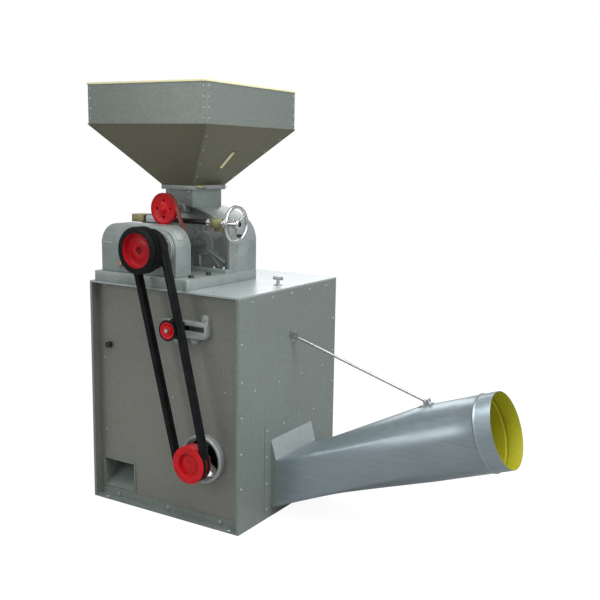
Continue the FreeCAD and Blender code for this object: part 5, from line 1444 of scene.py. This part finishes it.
@dataclass
class GapScrew:
    """The screw across the chamber that sets the gap between the rolls."""

    shop: Workshop
    axis: Point2 = (-110.0, 1014.0)
    wheel_x: float = 166.0
    wheel_radius: float = 60.0
    rim: float = 6.0
    spoke: float = 4.0

    def screw(self) -> None:
        """The rod with its thread, chrome sleeve, collar and nose."""
        mesh = self.shop.blank()
        y, z = self.axis
        centre = (0.0, y, z)
        shank = [(-300.0, 0.0), (-300.0, 7.6), (-298.6, 9.0)]
        place = -296.0
        while place < -235.0:
            shank += [(place, 9.0), (place + 0.9, 8.0), (place + 1.8, 9.0)]
            place += 2.4
        shank += [(-231.0, 9.0), (-231.0, 0.0)]
        frame = Matrix.Translation(centre) @ Axis.X.turn()
        self.shop.turned_at(mesh, frame, shank, 40, 0)
        self.shop.turned_at(mesh, frame, [(-231.0, 0.0), (-231.0, 11.8), (-229.8, 13.0), (-188.2, 13.0),
                                          (-187.0, 11.8), (-187.0, 0.0)], 48, 1)
        self.shop.turned_at(mesh, frame, [(-187.0, 0.0), (-187.0, 9.0), (44.0, 9.0), (44.0, 0.0)], 40, 0)
        self.shop.turned_at(mesh, frame, [(44.0, 0.0), (44.0, 11.8), (45.2, 13.0), (51.0, 13.0), (51.8, 12.2),
                                          (53.0, 12.2), (53.8, 13.0), (63.4, 13.0), (64.6, 11.8), (64.6, 0.0)],
                            48, 1)
        self.shop.turned_at(mesh, frame, [(64.6, 0.0), (64.6, 9.0), (108.4, 9.0), (108.4, 11.8), (109.6, 13.0),
                                          (117.2, 13.0), (118.4, 11.8), (118.4, 9.0), (172.0, 9.0),
                                          (172.0, 0.0)], 48, 1)
        paint = self.shop.finishes
        self.shop.ship("gap_screw_turned", mesh, "gap_handwheel", Slot.CHROME, [paint.dark_steel, paint.chrome],
                       ["gap_screw"])

    def handwheel(self) -> None:
        """The chrome wheel: a round rim, three tapering spokes and a stepped hub."""
        mesh = self.shop.blank()
        y, z = self.axis
        rim = [Vector((self.wheel_x, y + self.wheel_radius * math.cos(a), z + self.wheel_radius * math.sin(a)))
               for a in (math.radians(5 * step) for step in range(72))]
        self.shop.pipe(mesh, rim, self.rim, 20, closed=True)
        for number in range(3):
            angle = math.radians(270 + 120 * number)
            way = Vector((0, math.cos(angle), math.sin(angle)))
            start = Vector((self.wheel_x, y, z)) + way * 9.0
            end = Vector((self.wheel_x, y, z)) + way * (self.wheel_radius - 2.0)
            path = [start.lerp(end, share) for share in (0.0, 0.18, 0.4, 0.7, 0.9, 1.0)]
            self.shop.pipe(mesh, path, [5.4, 4.6, self.spoke, self.spoke, 4.2, 4.4], 14)
        frame = Matrix.Translation((0, y, z)) @ Axis.X.turn()
        self.shop.turned_at(mesh, frame, [(152.0, 9.1), (152.0, 13.8), (153.2, 15.0), (174.0, 15.0), (176.0, 14.4),
                                          (179.0, 12.6), (180.0, 11.0), (180.0, 9.1)], 48, 0)
        self.shop.turned_at(mesh, frame, [(172.2, 9.2), (174.8, 9.1), (175.8, 8.0), (175.8, 0.0)], 32, 1)
        paint = self.shop.finishes
        self.shop.ship("chrome_handwheel", mesh, "gap_handwheel", Slot.CHROME, [paint.chrome, paint.plug],
                       ["handwheel"])

    def knob(self) -> None:
        """The black turned knob on the wheel's rim."""
        mesh = self.shop.blank()
        y = self.axis[0]
        frame = Matrix.Translation((0, y, 976.0)) @ Axis.X.turn()
        self.shop.turned_at(mesh, frame, [(170.0, 0.0), (170.0, 5.0), (171.4, 5.4), (174.0, 7.2), (178.0, 8.0),
                                          (181.6, 7.6), (184.2, 5.6), (185.0, 2.8), (185.0, 0.0)], 40)
        self.shop.ship("handwheel_grip", mesh, "gap_handwheel", Slot.GRIP, [self.shop.finishes.grip],
                       ["handwheel_knob"])

    def castings(self) -> None:
        """Dresses the brass blocks, the nut and the yoke."""
        paint = self.shop.finishes
        ship = self.shop.ship
        ship("screw_block_casting", self.shop.solid("screw_bearing_block", 1.8), "cabinet", Slot.BRASS,
             [paint.olive_brass], ["screw_bearing_block"])
        ship("gap_nut_casting", self.shop.solid("gap_nut", 2.6), "slow_carriage", Slot.BRASS, [paint.brass],
             ["gap_nut"])
        ship("gap_yoke_casting", self.shop.solid("gap_yoke", 1.4), "slow_carriage", Slot.CORE, [paint.cast],
             ["gap_yoke"])

    def build(self) -> None:
        """Builds the gap screw."""
        self.screw()
        self.handwheel()
        self.knob()
        self.castings()


@dataclass
class BeltRun:
    """A closed belt path round circles in a plane across Y."""

    circles: Sequence[tuple[float, float, float]]

    def tangent(self, first: tuple[float, float, float], second: tuple[float, float, float]) -> tuple[Vector, Vector]:
        """The outside tangent from one circle to the next.

        Args:
            first: The circle that the belt leaves.
            second: The circle that it reaches.

        Returns:
            The points where it leaves and where it arrives.
        """
        way = Vector((second[0] - first[0], second[1] - first[1]))
        lean = math.acos((first[2] - second[2]) / way.length)
        angle = math.atan2(way.y, way.x) - lean
        out = Vector((math.cos(angle), math.sin(angle)))
        return Vector(first[:2]) + out * first[2], Vector(second[:2]) + out * second[2]

    def stations(self, step: float = 6.0) -> list[tuple[Vector, Vector]]:
        """Points along the path with the way out from its inner side.

        Args:
            step: The angle in degrees between stations on an arc.

        Returns:
            The stations in order.
        """
        count = len(self.circles)
        runs = [self.tangent(self.circles[i], self.circles[(i + 1) % count]) for i in range(count)]
        result = []
        for index, (x, z, radius) in enumerate(self.circles):
            centre = Vector((x, z))
            arrive, leave = runs[index - 1][1] - centre, runs[index][0] - centre
            start = math.atan2(arrive.y, arrive.x)
            turn = (math.atan2(leave.y, leave.x) - start) % (2 * math.pi)
            if turn > 1.9 * math.pi:
                turn = 0.0
            steps = max(1, int(math.degrees(turn) / step))
            for number in range(steps + 1):
                out = Vector((math.cos(start + turn * number / steps), math.sin(start + turn * number / steps)))
                result.append((centre + out * radius, out))
            first, last = runs[index]
            out = (first - centre).normalized()
            pieces = max(2, int((last - first).length / 40.0))
            for number in range(1, pieces):
                result.append((first.lerp(last, number / pieces), out))
        return result

    def sweep(self, mesh: bmesh.types.BMesh, section: Sequence[Point2], finishes: Sequence[int]) -> None:
        """Runs a closed section along the path.

        Args:
            mesh: The mesh that it is added to.
            section: Y and lift from the inner side for each corner.
            finishes: The index of the finish on each side of the section.
        """
        rings = [[mesh.verts.new((point.x + out.x * lift, y, point.y + out.y * lift)) for y, lift in section]
                 for point, out in self.stations()]
        for index, near in enumerate(rings):
            far = rings[(index + 1) % len(rings)]
            for side in range(len(section)):
                after = (side + 1) % len(section)
                face = mesh.faces.new((near[side], near[after], far[after], far[side]))
                face.material_index = finishes[side]


@dataclass
class BeltDrive:
    """The main pulley, the fan pulley, the idler and their belts."""

    shop: Workshop
    main: Point2 = (-18.0, 934.0)
    fan: Point2 = (161.0, 230.0)
    idler: Point2 = (77.0, 675.0)
    front_radius: float = 78.0
    step_radius: float = 68.0
    fan_radius: float = 64.0
    idler_radius: float = 31.0
    flange_radius: float = 35.0
    grooves: tuple[float, ...] = (-394.5, -375.5, -356.5, -337.5)
    margin: float = 11.5
    back: float = -326.0
    belt_height: float = 11.0
    half_top: float = 8.5
    half_low: float = 4.5

    def groove(self, middle: float, radius: float) -> list[Point2]:
        """One V groove's outline from front to back.

        Args:
            middle: The groove's middle along Y.
            radius: The rim's radius there.

        Returns:
            Places along Y with their radii.
        """
        floor = radius - self.belt_height - 0.5
        top = self.half_top + 0.35
        low = self.half_low + 0.17
        half = [(low, floor), (low + 0.4, floor + 0.4), (top - 0.35, radius - 0.5), (top, radius)]
        return [(middle - along, lift) for along, lift in reversed(half)] + \
            [(middle + along, lift) for along, lift in half]

    def rim(self, radii: Sequence[float]) -> list[Point2]:
        """The outline of a grooved rim from front to back.

        Args:
            radii: The radius at each groove, the last at the rearmost.

        Returns:
            Places along Y with their radii.
        """
        middles = self.grooves[-len(radii):]
        front = middles[0] - self.margin
        outline = [(front, radii[0] - 1.5), (front + 0.5, radii[0] - 0.5), (front + 1.5, radii[0])]
        for index, (middle, radius) in enumerate(zip(middles, radii)):
            if index and radii[index - 1] != radius:
                edge = (middles[index - 1] + middle) / 2
                outline += [(edge - 0.6, radii[index - 1]), (edge, radii[index - 1] - 0.6), (edge, radius)]
            outline += self.groove(middle, radius)
        last = radii[-1]
        return outline + [(self.back - 1.5, last), (self.back - 0.5, last - 0.5), (self.back, last - 1.5)]

    def main_pulley(self) -> None:
        """The stepped pulley: a black rim round a deep red dish with a raised closed hub; the dish's darker red and
        the near-black red in the hub's middle are painted shade.
        """
        mesh = self.shop.blank()
        front = self.grooves[0] - self.margin
        frame = Matrix.Translation((self.main[0], 0.0, self.main[1])) @ Axis.Y.turn()
        rim = [(front, 57.6)] + self.rim([self.front_radius] * 2 + [self.step_radius] * 2) + [(self.back, 50.0)]
        self.shop.turned_at(mesh, frame, rim, 112, 0)
        # The recessed dish takes the darker red: painted shade.
        dish = [(front, 57.6), (front + 0.6, 56.5), (front + 2.0, 56.0), (front + 14.4, 55.8), (front + 17.0, 54.6),
                (front + 18.0, 52.4), (front + 18.0, 40.0), (front + 17.4, 33.0), (front + 16.0, 30.6),
                (front + 15.3, 28.0), (front + 15.0, 26.0), (front + 15.0, 12.4)]
        self.shop.turned_at(mesh, frame, dish, 96, 1)
        # The hub's middle recess takes the near-black red: painted shade.
        centre = [(front + 15.0, 12.4), (front + 15.6, 11.2), (front + 17.4, 10.6), (front + 17.6, 9.6),
                  (front + 17.6, 0.0)]
        self.shop.turned_at(mesh, frame, centre, 64, 2)
        self.shop.turned_at(mesh, frame, [(self.back, 50.0), (self.back, 15.2), (front + 21.0, 15.2),
                                          (front + 21.0, 0.0)], 96, 1)
        paint = self.shop.finishes
        self.shop.ship("main_pulley_turned", mesh, "main_rotor", Slot.RED, [paint.black, paint.deep_red, paint.shaded_red],
                       ["main_pulley"])

    def fan_pulley(self) -> None:
        """The fan's two-groove pulley, red all over, its closed hub in a shallow dish."""
        mesh = self.shop.blank()
        front = self.grooves[-2] - self.margin
        frame = Matrix.Translation((self.fan[0], 0.0, self.fan[1])) @ Axis.Y.turn()
        outline = [(front + 9.0, 0.0), (front + 9.0, 29.4), (front + 9.4, 30.6), (front + 10.4, 31.0),
                   (front + 11.4, 31.6), (front + 12.0, 33.0), (front + 12.0, 37.6), (front + 11.2, 39.2),
                   (front + 9.0, 39.8), (front + 1.6, 40.0), (front + 0.4, 40.8), (front, 42.2)]
        outline += self.rim([self.fan_radius] * 2) + [(self.back, 12.7), (front + 15.0, 12.7), (front + 15.0, 0.0)]
        self.shop.turned_at(mesh, frame, outline, 96, 0)
        self.shop.ship("fan_pulley_turned", mesh, "fan_rotor", Slot.RED, [self.shop.finishes.red],
                       ["fan_pulley"])

    def idler_pulley(self) -> None:
        """The flat idler between black flanges, its red face dished towards the pin."""
        mesh = self.shop.blank()
        frame = Matrix.Translation((self.idler[0], 0.0, self.idler[1])) @ Axis.Y.turn()
        radius, flange = self.idler_radius, self.flange_radius
        front, back = -368.3, -325.7
        self.shop.turned_at(mesh, frame, [(front, 28.4), (front, flange - 0.8), (front + 0.8, flange),
                                          (front + 2.4, flange), (front + 3.0, flange - 0.6),
                                          (front + 3.0, radius), (back - 3.0, radius),
                                          (back - 3.0, flange - 0.6), (back - 2.4, flange), (back - 0.8, flange),
                                          (back, flange - 0.8), (back, 8.1)], 72, 0)
        self.shop.turned_at(mesh, frame, [(front, 28.4), (front + 0.1, 26.4), (front + 1.2, 24.0),
                                          (front + 5.2, 20.6), (front + 6.0, 19.0), (front + 6.0, 15.0),
                                          (front + 5.2, 14.2), (front + 0.6, 13.8), (front, 13.0),
                                          (front, 8.1), (back, 8.1)], 72, 1)
        paint = self.shop.finishes
        self.shop.ship("idler_pulley_turned", mesh, "idler_rotor", Slot.RED, [paint.black, paint.red],
                       ["idler_pulley"])

    def belts(self) -> None:
        """The two V belts round the main, fan and idler pulleys."""
        mesh = self.shop.blank()
        height = self.belt_height
        path = BeltRun([(*self.main, self.step_radius - height), (*self.fan, self.fan_radius - height),
                        (*self.idler, self.idler_radius + 0.3)])
        half = [(self.half_low, 0.0), (self.half_top - 0.3, height - 0.9), (self.half_top, height - 0.3),
                (self.half_top - 0.6, height)]
        section = [(-along, lift) for along, lift in half[:1]] + half + \
            [(-along, lift) for along, lift in reversed(half[1:])]
        for middle in self.grooves[-2:]:
            path.sweep(mesh, [(middle + along, lift) for along, lift in section], [0] * len(section))
        self.shop.ship("v_belt_loops", mesh, "cabinet", Slot.BELT, [self.shop.finishes.belt], ["v_belts"])

    def bracket(self) -> None:
        """The idler's slotted bracket, its slide block and the bolts in its ears."""
        paint = self.shop.finishes
        ship = self.shop.ship
        # The bracket takes the lighter casting enamel: painted highlight.
        ship("idler_bracket_casting", self.shop.solid("idler_bracket", 1.6), "cabinet", Slot.CAST, [paint.highlight_cast],
             ["idler_bracket"])
        ship("idler_block_milled", self.shop.solid("idler_block", 0.8), "idler_slide_block", Slot.STEEL,
             [paint.dark_steel], ["idler_block"])
        mesh = self.shop.blank()
        for x, z in ((171.7, 712.0), (125.7, 634.7), (60.0, 634.0)):
            self.shop.hexagon_bolt(mesh, (x, -290.0, z), (0, -1, 0), 11.0, 6.0, 8.0)
        ship("idler_bracket_bolts", mesh, "cabinet", Slot.ZINC, [paint.zinc])
        mesh = self.shop.blank()
        self.shop.hexagon_bolt(mesh, (self.idler[0], -370.4, self.idler[1]), (0, -1, 0), 13.0, 5.0, 0.0)
        ship("idler_pin_nut", mesh, "idler_slide_block", Slot.ZINC, [paint.zinc])

    def build(self) -> None:
        """Builds the belt drive."""
        self.main_pulley()
        self.fan_pulley()
        self.idler_pulley()
        self.belts()
        self.bracket()


@dataclass
class Feed:
    """The neck under the hopper with its gate, roller, pulley and leather belt."""

    shop: Workshop
    axis: Point2 = (-94.0, 1057.0)
    drive: Point2 = (-18.0, 934.0)

    def neck(self) -> None:
        """The cast neck and the gate's plate."""
        paint = self.shop.finishes
        ship = self.shop.ship
        ship("neck_casting", self.shop.solid("feed_throat", 2.4), "cabinet", Slot.CAST, [paint.neck],
             ["feed_throat"])
        self.shop.dress(paint.zinc, "feed_gate")
        mesh = self.shop.blank()
        for y in (-60.0, 0.0, 56.0):
            self.shop.hexagon_bolt(mesh, (-28.0, y, 1126.0), (1, 0, 0), 7.0, 2.4, 0.0)
        for z in (1096.0, 1116.0):
            for x in (-148.0, -56.0):
                self.shop.rivet(mesh, (x, -90.0, z), (0, -1, 0), 3.4, 2.0)
        ship("neck_bolts", mesh, "cabinet", Slot.ZINC, [paint.zinc])

    def pulleys(self) -> None:
        """The four-hole feed pulley, the small drive pulley and the roller."""
        paint = self.shop.finishes
        self.shop.ship("feed_pulley_casting", self.shop.solid("feed_pulley", 0.8), "feed_rotor", Slot.RED,
                       [paint.red], ["feed_pulley"])
        self.shop.dress(paint.red, "feed_drive_pulley")
        mesh = self.shop.blank()
        frame = Matrix.Translation((self.axis[0], 0.0, self.axis[1])) @ Axis.Y.turn()
        self.shop.turned_at(mesh, frame, [(-184.0, 12.0), (-190.4, 11.6), (-192.0, 10.2), (-192.6, 7.0),
                                          (-192.8, 0.0)], 48, 0)
        self.shop.turned_at(mesh, frame, [(-184.0, 48.0), (-184.8, 49.0), (-185.2, 54.0), (-184.8, 55.4), (-184.0, 56.0),
                                          (-183.0, 56.0), (-182.4, 55.4), (-182.4, 50.8), (-182.6, 48.0)], 96, 1)
        self.shop.ship("feed_pulley_cap", mesh, "feed_rotor", Slot.RED, [paint.red, paint.deep_red])
        self.shop.dress(paint.steel, "feed_roller")

    def belt(self) -> None:
        """The flat leather belt with pale cut edges."""
        mesh = self.shop.blank()
        path = BeltRun([(*self.drive, 20.3), (*self.axis, 51.3)])
        section = [(-181.4, 0.0), (-166.6, 0.0), (-166.0, 0.6), (-166.0, 3.4), (-166.6, 4.0), (-181.4, 4.0),
                   (-182.0, 3.4), (-182.0, 0.6)]
        path.sweep(mesh, section, [0, 1, 1, 1, 0, 1, 1, 1])
        paint = self.shop.finishes
        self.shop.ship("leather_belt_loop", mesh, "cabinet", Slot.LEATHER, [paint.leather, paint.leather_edge],
                       ["flat_belt"])

    def build(self) -> None:
        """Builds the feed."""
        self.neck()
        self.pulleys()
        self.belt()


@dataclass
class Fan:
    """The fan in the cabinet with its inlet ring and bearings."""

    shop: Workshop

    def build(self) -> None:
        """Dresses the fan and builds the inlet ring as a casting."""
        paint = self.shop.finishes
        self.shop.dress(paint.wheel, "fan_impeller")
        self.shop.dress(paint.sheet, "fan_housing")
        self.shop.dress(paint.steel, "fan_shaft")
        self.shop.dress(paint.cast, "rear_fan_bearing")
        # The inlet ring takes the lighter casting enamel: painted highlight.
        self.shop.ship("inlet_ring_casting", self.shop.solid("fan_inlet_ring", 1.6), "cabinet", Slot.CAST,
                       [paint.highlight_cast], ["fan_inlet_ring"])
        mesh = self.shop.blank()
        for number in range(3):
            angle = math.radians(120 * number - 40)
            spot = (161 + 69 * math.cos(angle), -302.0, 230 + 69 * math.sin(angle))
            self.shop.hexagon_bolt(mesh, spot, (0, -1, 0), 9.0, 3.6, 0.0)
        self.shop.ship("inlet_ring_bolts", mesh, "cabinet", Slot.ZINC, [paint.zinc])


@dataclass
class Exhaust:
    """The collar on the cabinet's side, the long duct and the strut that holds it."""

    shop: Workshop
    start: Point3 = (325.0, 9.0, 143.3)
    slope: float = 19.4
    radius: float = 124.0
    reach: float = 560.0
    length: float = 841.0
    wall: float = 2.0
    mouth_x: float = 347.0
    mouth_y: Point2 = (-122.0, 140.0)
    mouth_z: Point2 = (38.0, 210.0)
    flange_face: float = 327.0
    plate_top: float = 280.0
    plate_gauge: float = 0.6

    def middle(self, distance: float) -> Vector:
        """The axis's point at a distance from its start."""
        slope = math.radians(self.slope)
        return Vector(self.start) + Vector((math.cos(slope), 0, math.sin(slope))) * distance

    def ring(self, distance: float, radius: float, steps: int) -> list[Vector]:
        """A circle across the axis.

        Args:
            distance: How far along the axis.
            radius: Its radius.
            steps: How many points it has.

        Returns:
            The points, counted from +Y over the top.
        """
        slope = math.radians(self.slope)
        rise = Vector((-math.sin(slope), 0, math.cos(slope)))
        middle = self.middle(distance)
        return [middle + (Vector((0, 1, 0)) * math.cos(a) + rise * math.sin(a)) * radius
                for a in (2 * math.pi * step / steps for step in range(steps))]

    def mouth(self, step: float, steps: int) -> list[Vector]:
        """The rounded square at the collar, its points facing those of the circles."""
        half_y = (self.mouth_y[1] - self.mouth_y[0]) / 2 - step
        half_z = (self.mouth_z[1] - self.mouth_z[0]) / 2 - step
        centre_y = sum(self.mouth_y) / 2
        centre_z = sum(self.mouth_z) / 2
        corner = 12.0 - step
        outline: list[Vector] = []
        for sign_y, sign_z, start in ((1, 1, 0), (-1, 1, 90), (-1, -1, 180), (1, -1, 270)):
            for y, z in Outline.arc((centre_y + sign_y * (half_y - corner), centre_z + sign_z * (half_z - corner)),
                                    corner, start, start + 90, 6):
                outline.append(Vector((self.mouth_x, y, z)))
        marks = self.marks(steps)
        result = []
        for angle in marks:
            way = Vector((math.cos(angle), math.sin(angle)))
            result.append(self.hit(outline, centre_y, centre_z, way))
        return result

    def marks(self, steps: int) -> list[float]:
        """The angles at which the mouth's points are taken."""
        return [2 * math.pi * step / steps for step in range(steps)]

    def hit(self, outline: Sequence[Vector], y: float, z: float, way: Vector) -> Vector:
        """Where a line out from the mouth's middle meets its outline.

        Args:
            outline: The outline's points.
            y: The middle's Y.
            z: The middle's Z.
            way: The line's way in Y and Z.

        Returns:
            The point on the outline.
        """
        best = outline[0]
        for index, first in enumerate(outline):
            second = outline[(index + 1) % len(outline)]
            p, q = Vector((first.y - y, first.z - z)), Vector((second.y - y, second.z - z))
            side_p = way.x * p.y - way.y * p.x
            side_q = way.x * q.y - way.y * q.x
            if side_p * side_q > 0 or abs(side_p - side_q) < 1e-9:
                continue
            share = side_p / (side_p - side_q)
            spot = first.lerp(second, share)
            if (spot.y - y) * way.x + (spot.z - z) * way.y > 0:
                best = spot
        return best

    def duct(self) -> None:
        """The duct: a square mouth drawn into a round pipe, with a bead near its end."""
        mesh = self.shop.blank()
        steps = 96
        outside = [self.mouth(0.0, steps)]
        first_ring = self.ring(self.reach, self.radius, steps)
        shares = (0.08, 0.16, 0.3, 0.45, 0.6, 0.75, 0.9)
        for share in shares:
            outside.append([a.lerp(b, share) for a, b in zip(outside[0], first_ring)])
        outside.append(first_ring)
        bead = self.length - 60.0
        for distance, lift in ((self.reach + 8, 0.0), (self.reach + 60, 0.0), (self.reach + 150, 0.0),
                               (bead - 1.5, 0.0), (bead, 0.6), (bead + 1.5, 2.2), (bead + 4, 3.0),
                               (bead + 6.5, 2.2), (bead + 8, 0.6), (bead + 9.5, 0.0), (self.length - 1.2, 0.0),
                               (self.length, -0.5)):
            outside.append(self.ring(distance, self.radius + lift, steps))
        inside = [self.ring(self.length, self.radius - self.wall + 0.4, steps),
                  self.ring(self.length - 1.0, self.radius - self.wall, steps),
                  self.ring(bead + 10.5, self.radius - self.wall, steps),
                  self.ring(bead + 8.0, self.radius - self.wall + 1.6, steps),
                  self.ring(bead + 2.0, self.radius - self.wall + 1.6, steps),
                  self.ring(bead - 0.5, self.radius - self.wall, steps),
                  self.ring(self.reach, self.radius - self.wall, steps)]
        lining_mouth, lining_ring = self.mouth(self.wall, steps), inside[-1]
        for share in reversed(shares):
            inside.append([a.lerp(b, share) for a, b in zip(lining_mouth, lining_ring)])
        inside.append(lining_mouth)
        rings = [[mesh.verts.new(point) for point in ring] for ring in outside + inside]
        turn = len(outside)
        for index in range(len(rings)):
            near, far = rings[index], rings[(index + 1) % len(rings)]
            for step in range(steps):
                after = (step + 1) % steps
                face = mesh.faces.new((near[step], near[after], far[after], far[step]))
                face.material_index = 1 if turn <= index < len(rings) - 1 else 0
        paint = self.shop.finishes
        self.shop.ship("duct_sheet", mesh, "cabinet", Slot.DUCT, [paint.duct, paint.primer], ["exhaust_duct"])

    def collar(self) -> None:
        """The collar's sheets with rivets round its flange."""
        paint = self.shop.finishes
        self.shop.dress(paint.sheet, "duct_collar")
        mesh = self.shop.blank()
        for z in (320.0, 225.0, 130.0, 36.0):
            self.shop.rivet(mesh, (self.flange_face, -147.0, z), (1, 0, 0), 3.6, 2.0)
            self.shop.rivet(mesh, (self.flange_face, 160.0, z), (1, 0, 0), 3.6, 2.0)
        for y in (-44.0, 55.0):
            self.shop.rivet(mesh, (self.flange_face, y, 320.0), (1, 0, 0), 3.6, 2.0)
        self.shop.ship("collar_rivets", mesh, "cabinet", Slot.ZINC, [paint.rivet])

    def closing_plate(self) -> None:
        """The pale plate that slopes from the cabinet down to the duct's upper edge."""
        mesh = self.shop.blank()
        low_y, high_y = self.mouth_y
        slope = [Vector((self.flange_face, 0, self.plate_top)), Vector((self.mouth_x, 0, self.mouth_z[1]))]
        out = Vector((slope[0].z - slope[1].z, 0, slope[1].x - slope[0].x)).normalized() * self.plate_gauge
        corners = []
        for lift in (Vector(), out):
            for end in slope:
                corners += [mesh.verts.new(end + lift + Vector((0, y, 0))) for y in (low_y, high_y)]
        for face in ((0, 1, 3, 2), (4, 5, 7, 6), (0, 1, 5, 4), (2, 3, 7, 6), (0, 2, 6, 4), (1, 3, 7, 5)):
            mesh.faces.new([corners[index] for index in face])
        self.shop.ship("collar_closing_plate", mesh, "cabinet", Slot.HAMMERED, [self.shop.finishes.pale_sheet])

    def strut(self) -> None:
        """The strut with its bracket, saddle, wing nut and the bolt on the top sheet."""
        paint = self.shop.finishes
        self.shop.dress(paint.zinc, "duct_strut", "strut_bracket", "duct_clip", "top_bolt")

    def build(self) -> None:
        """Builds the exhaust."""
        self.duct()
        self.collar()
        self.closing_plate()
        self.strut()


def note_sizes() -> None:
    """Updates the view layer.
    """
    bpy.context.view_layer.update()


def main() -> None:
    """Builds every sub-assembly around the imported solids."""
    logging.basicConfig(level=logging.INFO, format="%(message)s")
    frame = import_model()
    shop = Workshop(frame)
    Studio().build()
    for part in (Cabinet(shop), BeanPath(shop), Fan(shop), GearCase(shop), RollChamber(shop), GapScrew(shop),
                 BeltDrive(shop), Feed(shop), Hopper(shop), Exhaust(shop)):
        LOG.info("building %s", type(part).__name__)
        part.build()
    note_sizes()


if __name__ == "__main__":
    main()
